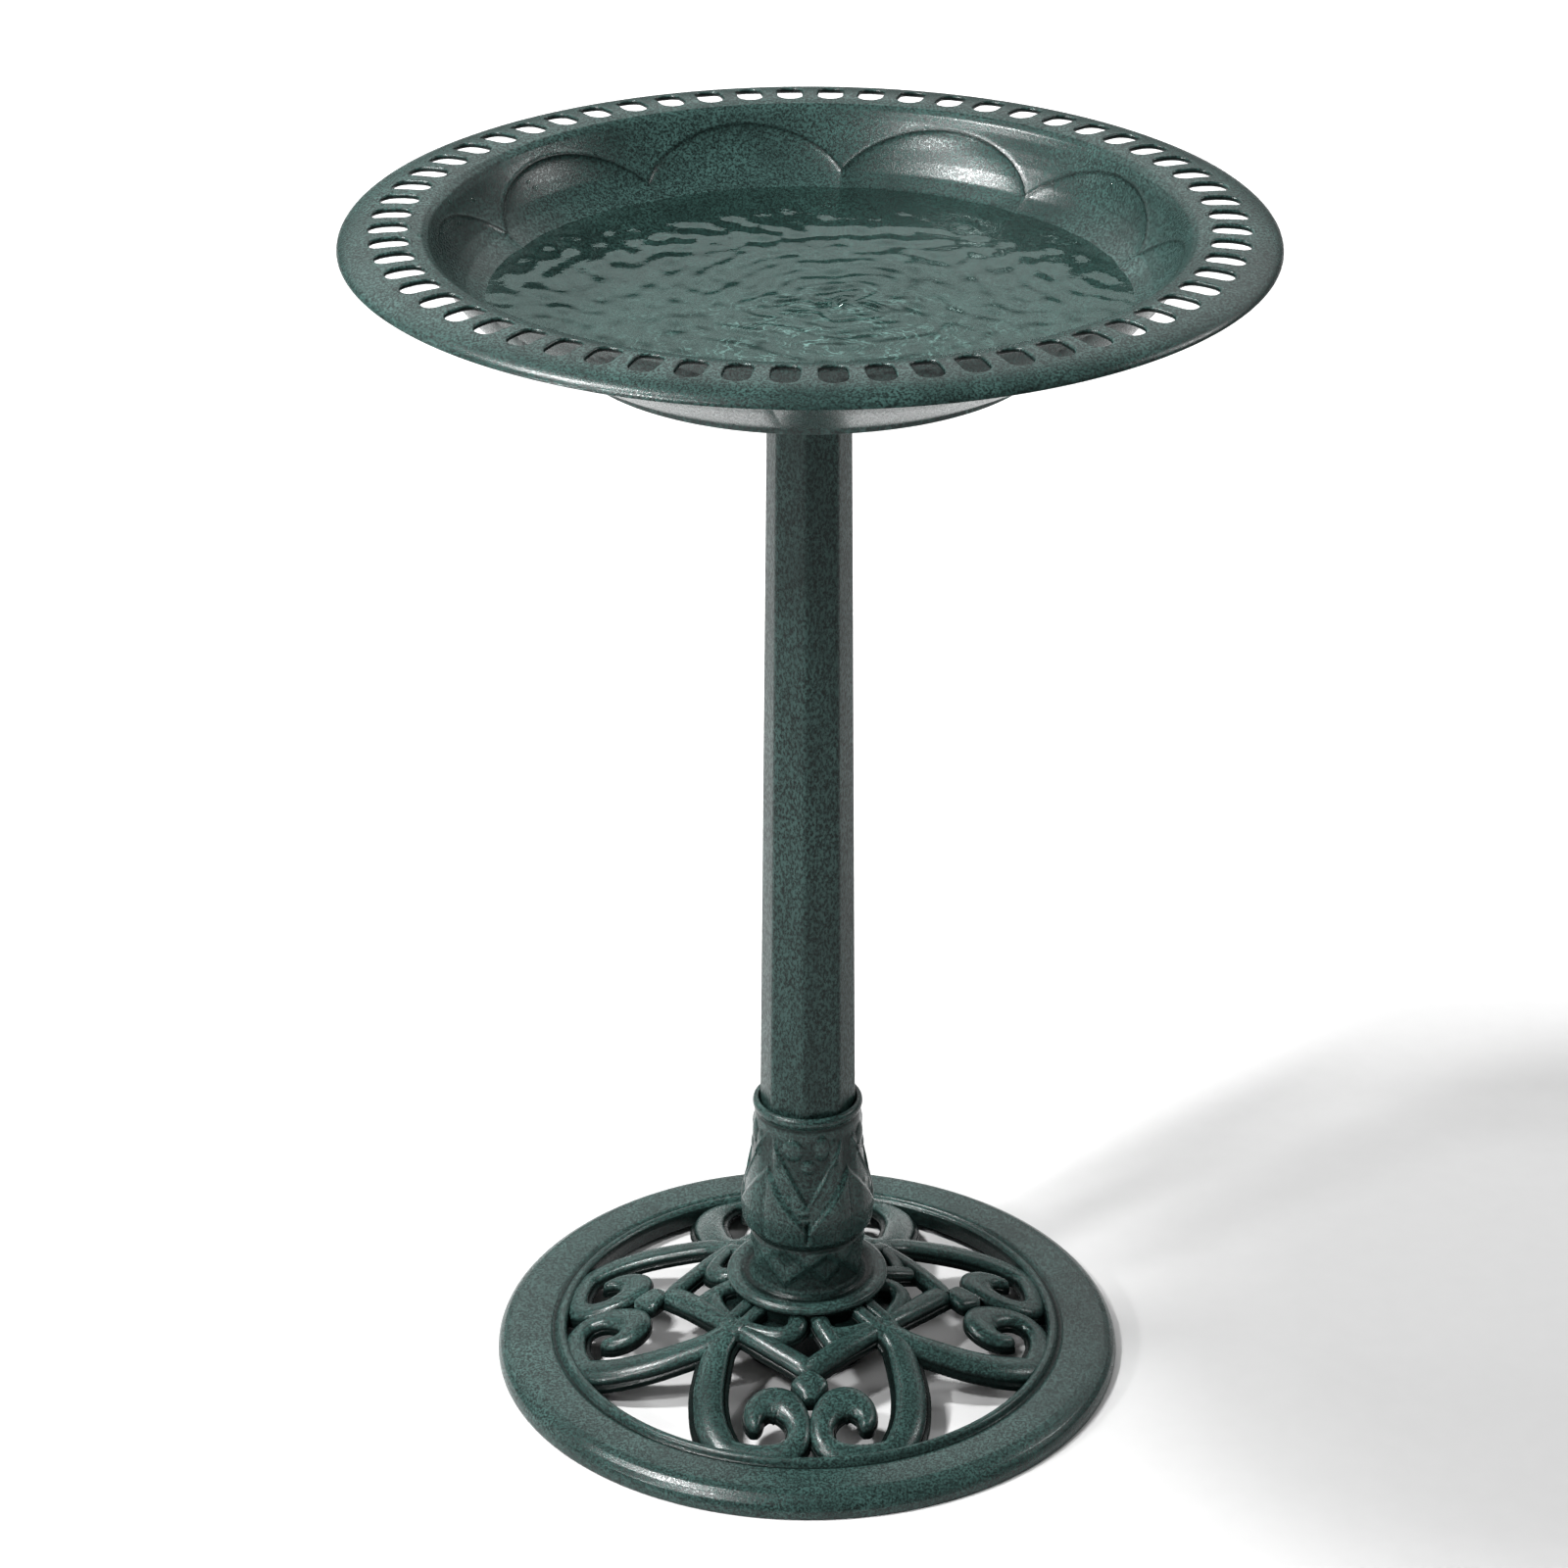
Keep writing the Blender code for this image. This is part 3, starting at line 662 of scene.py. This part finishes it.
def build_column(finish):
    """Eight flat sides with rounded arrises, tapering upwards."""
    soft = 0.0008
    heights = np.concatenate([np.linspace(COLUMN_FOOT, COLUMN_FOOT + soft, 3), np.linspace(0.07, 0.602, 134),
                              np.linspace(COLUMN_TOP - soft, COLUMN_TOP, 3)])
    columns = []
    for z in heights:
        corner = COLUMN_CORNER - COLUMN_TAPER * max(z - COLUMN_STRAIGHT, 0.0)
        pull = 0.0
        if z > COLUMN_TOP - soft:
            near_top = min(1.0, 1 - (COLUMN_TOP - z) / soft)
            pull = 0.0006 * (1 - math.sqrt(1 - near_top**2))
        apothem = (corner - pull) * math.cos(math.pi / 8)
        inner = (apothem - ARRIS_RADIUS) / math.cos(math.pi / 8)
        ring = []
        for side in range(8):
            here = COLUMN_TURN - math.pi / 2 + 2 * math.pi * side / 8
            for k in range(7):
                a = here - math.pi / 8 + (math.pi / 4) * k / 6
                ring.append((inner * math.cos(here) + ARRIS_RADIUS * math.cos(a),
                             inner * math.sin(here) + ARRIS_RADIUS * math.sin(a), z))
        columns.append(ring)
    points = np.array(columns)
    rings = points.shape[1]
    blocks = Blocks()
    blocks.add(points, wrap_columns=True)
    blocks.add_faces(points[0], [list(range(rings))[::-1]])
    blocks.add_faces(points[-1], [list(range(rings))])
    verts, faces = blocks.merged()
    mesh_object("column_shaft", verts, faces, finish, STAND, 40)


# ---------------------------------------------------------------- collar

COLLAR_LINE = [
    (0.0240, 0.0478), (0.0458, 0.0478), (0.0481, 0.0492), (0.0484, 0.0507), (0.0476, 0.0524),
    (0.0455, 0.0536),
    (0.0430, 0.0538), (0.0408, 0.0532), (0.0386, 0.0520), (0.0368, 0.0514), (0.0350, 0.0518),
    (0.0336, 0.0535), (0.0326, 0.0570), (0.0321, 0.0640), (0.0322, 0.0720), (0.0325, 0.0790),
    (0.0330, 0.0838), (0.0340, 0.0872), (0.0354, 0.0925), (0.0362, 0.0990), (0.0364, 0.1060),
    (0.0359, 0.1130), (0.0349, 0.1200), (0.0336, 0.1290), (0.0326, 0.1390), (0.0320, 0.1490),
    (0.0317, 0.1570), (0.0315, 0.1615), (0.0311, 0.1638), (0.0309, 0.1652), (0.0313, 0.1664),
    (0.0322, 0.1676), (0.0325, 0.1690), (0.0323, 0.1706), (0.0315, 0.1718), (0.0299, 0.1726),
    (0.0291, 0.1722), (COLLAR_BORE, 0.1650), (COLLAR_BORE, 0.1600),
]


def ridge(distance, width, rise):
    """A rounded line, highest where distance is zero."""
    return rise * np.exp(-(distance / width) ** 2)


BEADS = (  # degrees from the front, level, half width, half height, rise
    (-3.5, 0.1135, 0.0040, 0.0042, 0.0012), (-20.0, 0.1200, 0.0032, 0.0034, 0.0008),
    (0.5, 0.1415, 0.0048, 0.0048, 0.0014), (-16.0, 0.1520, 0.0072, 0.0070, 0.0021),
    (15.5, 0.1535, 0.0050, 0.0082, 0.0021), (29.5, 0.1495, 0.0040, 0.0090, 0.0015),
    (-33.0, 0.1480, 0.0042, 0.0095, 0.0014),
)


def collar_relief(angle, radius, height):
    """Leaves, beads and chevrons raised on the collar's turned form."""
    turn = np.degrees(angle) + 90.0
    near = (turn + 45) % 90 - 45
    aside = np.abs(near)
    rise = np.zeros_like(radius)
    low = smoothstep(0.0870, 0.0910, height)
    # fat leaves around the bulge, parted at the front by a crease
    under = 0.1028 + 0.0008 * aside - height
    rise += low * 0.0024 * smoothstep(-0.0006, 0.0055, under)
    crease = np.exp(-(aside / 2.0) ** 2) * smoothstep(0.090, 0.094, height)
    rise -= 0.0024 * crease * smoothstep(-0.004, 0.001, under)
    fold = np.exp(-((45 - aside) / 2.6) ** 2) * low * smoothstep(0.0, 0.012, under)
    rise -= 0.0014 * fold
    # narrower leaves behind them, with a rolled edge
    behind = 0.1175 + 0.00105 * aside - height
    ends = 1 - smoothstep(31, 42, aside)
    rise += 0.0011 * smoothstep(-0.0006, 0.0030, behind) * ends * low
    rise += ridge(behind - 0.0022, 0.0021, 0.0009) * ends * smoothstep(1.0, 6.0, aside)
    rise *= 1 - smoothstep(0.1585, 0.1625, height)
    for where, level, wide, tall, lift in BEADS:
        across = np.radians(near - where) * COLLAR_RADIUS / wide
        away = np.hypot(across, (height - level) / tall)
        rise += 0.75 * lift * np.clip(1 - away**2, 0, 1) ** 0.7
    # pointed scales on the drum below
    drum = smoothstep(0.0535, 0.0560, height) * (1 - smoothstep(0.0815, 0.0850, height))
    for shift, tip, lift in ((24.0, 0.0555, 0.0013), (-21.0, 0.0590, 0.0006)):
        off = np.abs((turn + shift + 45) % 90 - 45)
        line = tip + 0.0215 * (off / 44) ** 0.85
        above = height - line
        fade = 1 - 0.85 * smoothstep(0.005, 0.018, above)
        rise += drum * lift * smoothstep(-0.0006, 0.0052, above) * fade
    return radius + rise, height


def collar_painted_shade(verts):
    """Painted shade: dark between the leaves, under the lip and in the flange's groove."""
    distance, height = np.hypot(verts[:, 0], verts[:, 1]), verts[:, 2]
    line = np.asarray(COLLAR_LINE[12:30])
    rise = distance - np.interp(height, line[:, 1], line[:, 0])
    leaves = smoothstep(0.0880, 0.0900, height) * (1 - smoothstep(0.1560, 0.1600, height))
    dark = 0.62 * leaves * (1 - smoothstep(-0.0006, 0.0011, rise))
    drum = smoothstep(0.0550, 0.0570, height) * (1 - smoothstep(0.0800, 0.0840, height))
    dark += 0.45 * drum * (1 - smoothstep(0.0, 0.0007, rise))
    dark += ridge(height - 0.0850, 0.0022, 0.7) + ridge(height - 0.1645, 0.0012, 0.7)
    foot = (height < 0.0545) * np.exp(-((distance - 0.0365) / 0.0028) ** 2)
    return np.clip(dark + 0.85 * foot, 0, 1)


def build_collar(finish):
    """The collar: relief outside, a plain bore for the column, and a floor over the hub."""
    outline = densify(COLLAR_LINE, 0.0007)
    blocks = Blocks()
    blocks.add(revolve(outline, 480, collar_relief), wrap_rows=True)
    inside = [(COLLAR_BORE, 0.1600), (COLLAR_BORE, 0.0645), (0.0, 0.0645)]
    blocks.add(revolve(inside, 480), wrap_rows=True)
    floor = rounded([(0.0, 0.0585), (0.0240, 0.0585), (0.0240, 0.0478)], 0.0008, 3)
    blocks.add(revolve(floor, 480), wrap_rows=True)
    verts, faces = blocks.merged()
    mesh_object("collar_shell", verts, faces, finish, STAND, 60, recess=collar_painted_shade)


# ---------------------------------------------------------------- base

def dome_height(distance):
    """Height of the fretwork's crests at a distance from the axis."""
    rise = np.clip((RING_INNER - distance) / (RING_INNER - DOME_START), 0, 1)
    return RING_TOP + (HUB_TOP - RING_TOP) * rise**0.85


CAP_SHAPE = [-1.0, -0.985, -0.93, -0.84, -0.70, -0.52, -0.30, 0.0,
             0.30, 0.52, 0.70, 0.84, 0.93, 0.985, 1.0]


def band(blocks, path, turn, flange=(0.0026, 0.0026), mirror=1, tip=False, cap=0.0052, flat=2.5, step=1.3):
    """One half-round band on a thin flange, following the dome.

    path holds (u, v, width, lift) in millimetres: u to the right, v away from the axis.
    flange is how far the thin edge stands out on each side, as a number or a function of
    the share of the path run so far. tip rounds the far end off.
    """
    length = sum(math.dist(a[:2], b[:2]) for a, b in zip(path, path[1:]))
    line = curve([tuple(p) + (0,) * (4 - len(p)) for p in path], max(int(length / step), 8)) / 1000
    along = np.gradient(line[:, :2], axis=0)
    along /= np.linalg.norm(along, axis=1)[:, None]
    side = np.stack([along[:, 1], -along[:, 0]], -1)
    count = len(line)
    size = np.ones(count)
    if tip:
        run = np.concatenate([[0], np.cumsum(np.linalg.norm(np.diff(line[:, :2], axis=0), axis=1))])
        reach = line[-1, 2] * 0.5 + 0.001
        back = np.clip((run[-1] - run) / reach, 0, 1)
        size = np.sqrt(np.clip(1 - (1 - back) ** 2, 0.0, 1))
        size[-1] = 0.02
    rows = []
    for k in range(count):
        half = line[k, 2] / 2 * size[k]
        left, right = (size[k] * (edge(k / (count - 1)) if callable(edge) else edge) for edge in flange)
        crown = cap * (0.25 + 0.75 * size[k])
        start = cap - crown
        profile = [(-half - left, BAND_DEPTH), (-half - left, 0.0066), (-half - left * 0.8, 0.0060),
                   (-half - left * 0.12, 0.0057)]
        for t in CAP_SHAPE:
            fall = start + crown * (1 - (1 - abs(t) ** flat) ** 0.5)
            profile.append((t * half, fall))
        profile += [(half + right * 0.12, 0.0057), (half + right * 0.8, 0.0060),
                    (half + right, 0.0066), (half + right, BAND_DEPTH)]
        row = []
        for across, drop in profile:
            u = line[k, 0] + side[k, 0] * across
            v = line[k, 1] + side[k, 1] * across
            z = dome_height(math.hypot(u, v)) + line[k, 3] - drop
            row.append((u * mirror, v, max(z, 0.0012)))
        rows.append(row)
    points = np.array(rows)
    x = points[..., 0] * math.cos(turn) + points[..., 1] * math.sin(turn)
    y = points[..., 0] * math.sin(turn) - points[..., 1] * math.cos(turn)
    placed = np.stack([x, y, points[..., 2]], -1)
    if mirror < 0:
        placed = placed[:, ::-1]
    blocks.add(placed, wrap_columns=True)
    columns = placed.shape[1]
    blocks.add_faces(placed[0], [list(range(columns))])
    blocks.add_faces(placed[-1], [list(range(columns))[::-1]])


# Paths of the fretwork's bands, in one of its four quarters.
HEART = [
    (-44, 37, 15), (-47, 41, 15), (-50, 52, 16), (-54.4, 61, 17), (-57.8, 79, 18), (-59.4, 92.5, 18.5),
    (-59.1, 106, 18.5), (-57.8, 115, 18.5), (-55, 124, 18), (-49.2, 134.8, 17), (-39.3, 139.3, 16.5),
    (-27.6, 141, 15.5), (-16, 139.3, 14.5), (-8.6, 133.5, 14), (-6.6, 126.5, 14), (-7.0, 119.5, 15),
    (-10.1, 111.9, 17.5), (-15.5, 105.7, 20), (-23.4, 104.0, 20.5), (-29.8, 107.6, 17.5),
    (-32.8, 113.8, 13), (-32.4, 120.0, 8.5), (-30.8, 124.2, 5),
]
V_LEFT = [(-46, 42, 11, 0), (-40.5, 47.8, 11, 0), (-30.5, 57.2, 11.5, 0), (-19.5, 66.2, 12.5, -0.4),
          (-9.5, 74.4, 13, 0), (-3.5, 79.4, 13, 0.2), (1.5, 82.5, 12, -0.6)]
V_RIGHT = [(46, 42, 11, 0), (40.5, 47.8, 11, 0), (30.5, 57.2, 11.5, 0.3), (19.5, 66.2, 12.5, 0.9),
           (9.5, 74.4, 13, 0.9), (2.5, 80.2, 13, 0.6), (-2.5, 83.0, 12, -0.3)]
LOOP_LEFT = [(-45, 43.0, 9.5, 0), (-34, 49.6, 9.5, 0.2), (-24.5, 54.6, 10, 0.5), (-15.5, 56.6, 11, 0.9),
             (-9.0, 53.5, 12, 0.7), (-6.6, 48, 12, 0.3), (-6.2, 41, 12, 0)]
LOOP_RIGHT = [(45, 43.0, 9.5, 0), (34, 49.6, 9.5, 0), (25, 54.0, 10, 0), (16, 55.5, 10, -0.3),
              (8, 52, 10, -0.3)]
SPUR_RIGHT = [(5.8, 41, 11, 0), (8.2, 50, 11, 0.1), (12.5, 58.5, 11, 0), (17.5, 66, 11, -1.0)]
BEAD = [(0, 86.0, 9, -0.8), (0, 88.6, 15.0, 0), (0, 91.4, 20.8, 0.2), (0, 94.0, 21.5, 0.2),
        (0, 97.0, 18.0, 0.2),
        (0, 100.5, 13.0, 0), (0, 103.0, 9.5, -0.6), (0, 104.4, 7.0, -1.4)]
TAB = [(0, 40, 8.4, 0.5), (0, 52, 8.4, 0.5), (0, 63, 8.4, 0.2), (0, 68, 8.4, -1.5)]


def ring_painted_shade(verts):
    """Painted shade: dark in the groove beside the bead and on the ring's inner side."""
    distance, height = np.hypot(verts[:, 0], verts[:, 1]), verts[:, 2]
    groove = np.exp(-((distance - 0.1530) / 0.0010) ** 2) * (height > 0.0115)
    return np.clip(0.85 * groove + 0.7 * (distance < 0.1460) * (height < 0.0146), 0, 1)


def scroll_painted_shade(verts):
    """Painted shade: dark on the flanges beside the bands, where they sink below the crests."""
    below = dome_height(np.hypot(verts[:, 0], verts[:, 1])) - verts[:, 2]
    return 0.9 * smoothstep(0.0028, 0.0050, below)


def build_base(finish):
    """The flat outer ring, the domed hub and the fretwork between them."""
    ring = rounded([
        (0.1450, 0.0045), (0.1448, 0.0120), (0.1455, 0.0146), (0.1468, 0.0161), (0.1484, 0.0166),
        (0.1500, 0.0161), (0.1511, 0.0148), (0.1519, 0.0130), (0.1529, 0.0122), (0.1541, 0.0125),
        (0.1552, 0.0134), (0.1570, 0.0138), (0.1690, 0.0139), (0.1750, 0.0137),
        (0.1795, 0.0126), (0.1830, 0.0106), (0.1855, 0.0080), (0.1867, 0.0050), (0.1870, 0.0020),
        (0.1866, 0.0000), (0.1840, 0.0000), (0.1815, 0.0070), (0.1740, 0.0108), (0.1510, 0.0108),
        (0.1500, 0.0045), (0.1450, 0.0045),
    ], 0.0006, 3)
    blocks = Blocks()
    blocks.add(revolve(ring, 720), wrap_rows=True)
    verts, faces = blocks.merged()
    mesh_object("base_ring", verts, faces, finish, STAND, 50, recess=ring_painted_shade)
    hub = rounded([
        (0.0, 0.0472), (0.0445, 0.0472), (0.0445, 0.0385), (0.0400, 0.0385), (0.0400, 0.0020),
        (0.0360, 0.0020), (0.0360, 0.0427), (0.0, 0.0427),
    ], 0.0008, 3)
    blocks = Blocks()
    blocks.add(revolve(hub, 240), wrap_rows=True)
    shelf = [(0.0395, 0.0395), (0.0535, 0.0380), (0.0535, 0.0360), (0.0395, 0.0375), (0.0395, 0.0395)]
    blocks.add(revolve(shelf, 240), wrap_rows=True)
    verts, faces = blocks.merged()
    # Painted shade: the whole hub and its shelf are painted dark.
    mesh_object("base_hub", verts, faces, finish, STAND, 50, recess=lambda v: 0.8 + 0 * v[:, 0])

    def outer_flange(t):
        return 0.0026 - 0.0021 * float(smoothstep(0.55, 0.75, t))

    def inner_flange(t):
        return 0.0027 - 0.0020 * float(smoothstep(0.62, 0.80, t))

    blocks = Blocks()
    for k in range(4):
        turn = BASE_TURN + k * math.pi / 2
        for mirror in (1, -1):
            band(blocks, HEART, turn, (outer_flange, inner_flange), mirror, tip=True)
        band(blocks, V_LEFT, turn, (0.0013, 0.0013), cap=0.0050, flat=2.3)
        band(blocks, V_RIGHT, turn, (0.0013, 0.0013), cap=0.0050, flat=2.3)
        band(blocks, LOOP_LEFT, turn, (0.0012, 0.0012), cap=0.0050, flat=2.3)
        band(blocks, LOOP_RIGHT, turn, (0.0012, 0.0012), cap=0.0050, flat=2.3)
        band(blocks, SPUR_RIGHT, turn, (0.0008, 0.0008), cap=0.0044, flat=2.6)
        band(blocks, BEAD, turn, (0.0003, 0.0003), cap=0.0036, flat=3.2)
        for shift in (-4.7, 4.7):
            path = [(shift, v, w, z) for _, v, w, z in TAB]
            band(blocks, path, turn + math.pi / 4, (0.0004, 0.0004), cap=0.0030, flat=5.0)
    verts, faces = blocks.merged(1e-7)
    mesh_object("base_scrollwork", verts, faces, finish, STAND, 40, recess=scroll_painted_shade)


# ---------------------------------------------------------------- head, socket and screws

def build_head(finish):
    """The hollow plug on the column's top, with its flange and four keys."""
    blocks = Blocks()
    outline = rounded([
        (0.0, 0.6003), (0.0178, 0.6003), (0.0178, 0.6063), (0.0265, 0.6063), (0.0265, 0.6097),
        (0.0191, 0.6097), (0.0175, 0.6400), (0.0135, 0.6400), (0.0135, 0.6105), (0.0, 0.6105),
    ], 0.0007)
    blocks.add(revolve(outline, 120), wrap_rows=True)
    for k in range(4):
        turn = Matrix.Rotation(2 * math.pi * (k + 0.5) / 4, 3, "Z")
        corners = []
        for z, inset in ((0.6090, 0.0), (0.6334, 0.0), (0.6340, 0.0006)):
            for x, y in ((0.0155, -1), (0.0212 - inset, -1), (0.0212 - inset, 1), (0.0155, 1)):
                corners.append(tuple(turn @ Vector((x, y * (0.0015 - inset / 2), z))))
        sides = [[b * 4 + i, b * 4 + (i + 1) % 4, b * 4 + 4 + (i + 1) % 4, b * 4 + 4 + i]
                 for b in range(2) for i in range(4)]
        blocks.add_faces(corners, sides + [[8, 9, 10, 11], [3, 2, 1, 0]])
    verts, faces = blocks.merged(1e-7)
    mesh_object("column_head_plug", verts, faces, finish, STAND, 40)


def build_socket(finish):
    """The keyed sleeve under the bowl, with keyways pressed outwards into its bore."""
    outline = densify(rounded([
        (0.0192, 0.6340), (0.01955, 0.6100), (0.0250, 0.6100), (0.0250, 0.6285), (0.0270, 0.6305),
        (0.0420, 0.6305), (0.0420, 0.6342), (0.0184, 0.6342), (0.0180, 0.6340),
    ], 0.0006, 3), 0.0016)

    def keyways(angle, radius, height):
        off = np.abs((np.degrees(angle) % 90) - 45)
        bore = radius < 0.0198
        wide = np.degrees(0.0022 / 0.0195)
        plain = np.where(bore, np.clip(radius, 0.0180, 0.0198), radius)
        return np.where(bore & (off < wide), 0.0219, plain), height

    blocks = Blocks()
    blocks.add(revolve(outline, 360, keyways), wrap_rows=True, wrap_columns=True)
    verts, faces = blocks.merged()
    mesh_object("socket_sleeve", verts, faces, finish, BOWL_BODY, 40)


def build_screw(name, spot, face, reach, body, finish):
    """A pan-head screw: domed head with a cross recess, threaded shank and a point."""
    way = 1 if reach > 0 else -1
    tip = abs(reach)
    head = [(r, -0.0030 + 0.0016 * (r / 0.004) ** 3) for r in np.linspace(0, 0.0038, 16)]
    head += [(0.0040, -0.0010), (0.0040, -0.0004), (0.0038, 0.0)]
    shank = [(0.0016, z) for z in np.arange(0.0, tip - 0.0028, 0.00022)]
    point = [(0.0016 * (1 - t) ** 0.8, tip - 0.0028 + 0.0028 * t) for t in np.linspace(0, 1, 14)]
    line = np.array(head + shank + point)

    def shape(angle, radius, height):
        thread = (height > 0.0006) & (radius > 0.0004) & (height < tip - 0.0004)
        phase = (height / 0.0013 - angle / (2 * np.pi)) % 1
        crest = 1 - np.minimum(phase, 1 - phase) * 4
        radius = radius + np.where(thread, 0.00018 * np.clip(crest, -1, 1), 0)
        across = np.minimum(np.abs(radius * np.cos(angle)), np.abs(radius * np.sin(angle)))
        recess = (height < -0.0012) & (across < 0.00042) & (radius < 0.0022)
        return radius, height + np.where(recess, 0.0014 * (1 - (radius / 0.0024) ** 2), 0)

    points = revolve(line, 48, shape)
    points[..., 2] *= way
    points += np.array([spot[0], spot[1], face])
    blocks = Blocks()
    blocks.add(points if way > 0 else points[:, ::-1], wrap_rows=True)
    verts, faces = blocks.merged(1e-7)
    mesh_object(name, verts, faces, finish, body, 35)


def build_screws(finish):
    """Four screws in each joint; reach is negative where they point down."""
    groups = (  # name, circle, height of the seat, reach, turn, body
        ("base_screw", 0.028, 0.0424, 0.0145, math.pi / 4, STAND),
        ("column_screw", 0.012, 0.0582, 0.0135, 0.0, STAND),
        ("head_screw", 0.0085, 0.6108, -0.0175, math.pi / 4, STAND),
        ("socket_screw", 0.034, 0.6302, 0.0125, 0.0, BOWL_BODY),
    )
    for name, circle, face, reach, turn, body in groups:
        for k in range(SCREWS):
            angle = turn + 2 * math.pi * k / SCREWS
            spot = (circle * math.cos(angle), circle * math.sin(angle))
            build_screw(f"{name}_{k + 1}_detail", spot, face, reach, body, finish)


# ---------------------------------------------------------------- studio

def area_light(name, place, target, size, power):
    """A white rectangular light at place, aimed at target."""
    lamp = bpy.data.lights.new(name, "AREA")
    lamp.shape = "RECTANGLE"
    lamp.size, lamp.size_y = size
    lamp.energy = power
    made = bpy.data.objects.new(name, lamp)
    bpy.context.scene.collection.objects.link(made)
    made.location = place
    aim = Vector(target) - Vector(place)
    made.rotation_euler = aim.to_track_quat("-Z", "Y").to_euler()
    return made


def build_floor():
    half = 9.0
    corners = [(-half, -half, 0), (half, -half, 0), (half, half, 0), (-half, half, 0)]
    mesh = bpy.data.meshes.new("studio_floor")
    mesh.from_pydata(corners, [], [(0, 1, 2, 3)])
    mesh.materials.append(floor_paint("floor_paint"))
    ground = bpy.data.objects.new("studio_floor", mesh)
    bpy.context.scene.collection.objects.link(ground)


def build_world():
    """White surroundings, dim all round and brighter in a band behind the object."""
    world = bpy.data.worlds.new("studio")
    world.use_nodes = True
    tree = world.node_tree
    tree.nodes["Background"].inputs["Color"].default_value = (1.0, 1.0, 1.0, 1.0)
    place = tree.nodes.new("ShaderNodeTexCoord")
    apart = tree.nodes.new("ShaderNodeSeparateXYZ")
    tree.links.new(place.outputs["Generated"], apart.inputs["Vector"])
    shares = []
    for axis, low, high in (("Y", 0.35, 0.75), ("Z", 0.80, 0.60), ("Z", 0.12, 0.46)):
        share = tree.nodes.new("ShaderNodeMapRange")
        share.interpolation_type = "SMOOTHSTEP"
        share.inputs["From Min"].default_value = low
        share.inputs["From Max"].default_value = high
        tree.links.new(apart.outputs[axis], share.inputs["Value"])
        shares.append(share.outputs["Result"])
    for share in shares[1:]:
        both = tree.nodes.new("ShaderNodeMath")
        both.operation = "MULTIPLY"
        tree.links.new(shares[0], both.inputs[0])
        tree.links.new(share, both.inputs[1])
        shares[0] = both.outputs["Value"]
    glow = tree.nodes.new("ShaderNodeMapRange")
    glow.inputs["To Min"].default_value = 0.10
    glow.inputs["To Max"].default_value = 1.30
    tree.links.new(shares[0], glow.inputs["Value"])
    tree.links.new(glow.outputs["Result"], tree.nodes["Background"].inputs["Strength"])
    bpy.context.scene.world = world


def build_lights():
    area_light("overhead", (-1.3, -0.1, 2.6), (0, 0, 0.35), (0.36, 0.46), 88)
    area_light("front_left", (-1.5, -1.5, 2.4), (0, 0, 0.35), (0.24, 0.24), 52)
    area_light("low_left", (-1.9, -1.25, 1.15), (0, 0, 0.2), (0.20, 0.20), 20)
    area_light("right", (2.2, 0.5, 1.7), (0, 0, 0.2), (0.5, 0.7), 16)
    area_light("strip_left", (-2.1, 0.3, 1.0), (0, 0, 0.35), (0.25, 1.6), 4)
    sweep = area_light("back_floor", (0.0, 2.6, 2.2), (0, 3.4, 0), (4.0, 1.5), 150)
    sweep.visible_glossy = False  # it would glint in the water


def build_camera():
    """A long lens in front, looking down at the object."""
    lens = bpy.data.cameras.new("camera")
    lens.sensor_width = 36.0
    lens.lens = 106.13
    lens.clip_start = 0.05
    camera = bpy.data.objects.new("camera", lens)
    bpy.context.scene.collection.objects.link(camera)
    camera.location = (0.0, -2.3703, 1.5395)
    pitch, yaw = 0.4561, -0.0059
    ahead = Vector((math.sin(yaw) * math.cos(pitch), math.cos(yaw) * math.cos(pitch), -math.sin(pitch)))
    camera.rotation_euler = ahead.to_track_quat("-Z", "Y").to_euler()
    bpy.context.scene.camera = camera


# ---------------------------------------------------------------- assembly

def build_pieces():
    # wet=True paints caustic light into the bowl's colour.
    build_bowl(resin("bowl_mottled", 1.0, 0.25, wet=True))
    wet = water("water_clear")
    build_water(wet)
    build_droplets(wet)
    build_column(resin("column_mottled", 0.85, 0.34, (1.0, 1.0, 0.55), 0.20))
    build_collar(resin("collar_mottled", 1.0, 0.25))
    build_base(resin("base_mottled", 1.0, 0.22))
    build_head(resin("head_mottled", 0.9, 0.45))
    build_socket(resin("socket_mottled", 0.9, 0.45))
    build_screws(steel("zinc_steel"))
    replaced = {
        "bowl_shell": "bowl", "column_shaft": "column", "collar_shell": "collar",
        "base_scrollwork": "base", "column_head_plug": "column_head", "socket_sleeve": "bowl_socket",
    }
    for piece, node in replaced.items():
        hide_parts(node)
    for group in ("base_screw", "column_screw", "head_screw", "socket_screw"):
        for k in range(SCREWS):
            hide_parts(f"{group}_{k + 1}")


def build_studio():
    bpy.context.scene.view_settings.view_transform = "Standard"
    build_floor()
    build_world()
    build_lights()
    build_camera()


def extent_of_pieces():
    """Lowest and highest corner of all visual pieces, as plain lists."""
    bpy.context.view_layer.update()
    low = np.full(3, np.inf)
    high = np.full(3, -np.inf)
    for item in bpy.data.objects:
        if item.type == "MESH" and "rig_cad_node" not in item and item.name != "studio_floor":
            co = np.array([item.matrix_world @ v.co for v in item.data.vertices])
            low = np.minimum(low, co.min(0))
            high = np.maximum(high, co.max(0))
    return [low.tolist(), high.tolist()]


build_pieces()
build_studio()
sizes = {"cad": [list(corner) for corner in CAD_BOX], "visual": extent_of_pieces()}
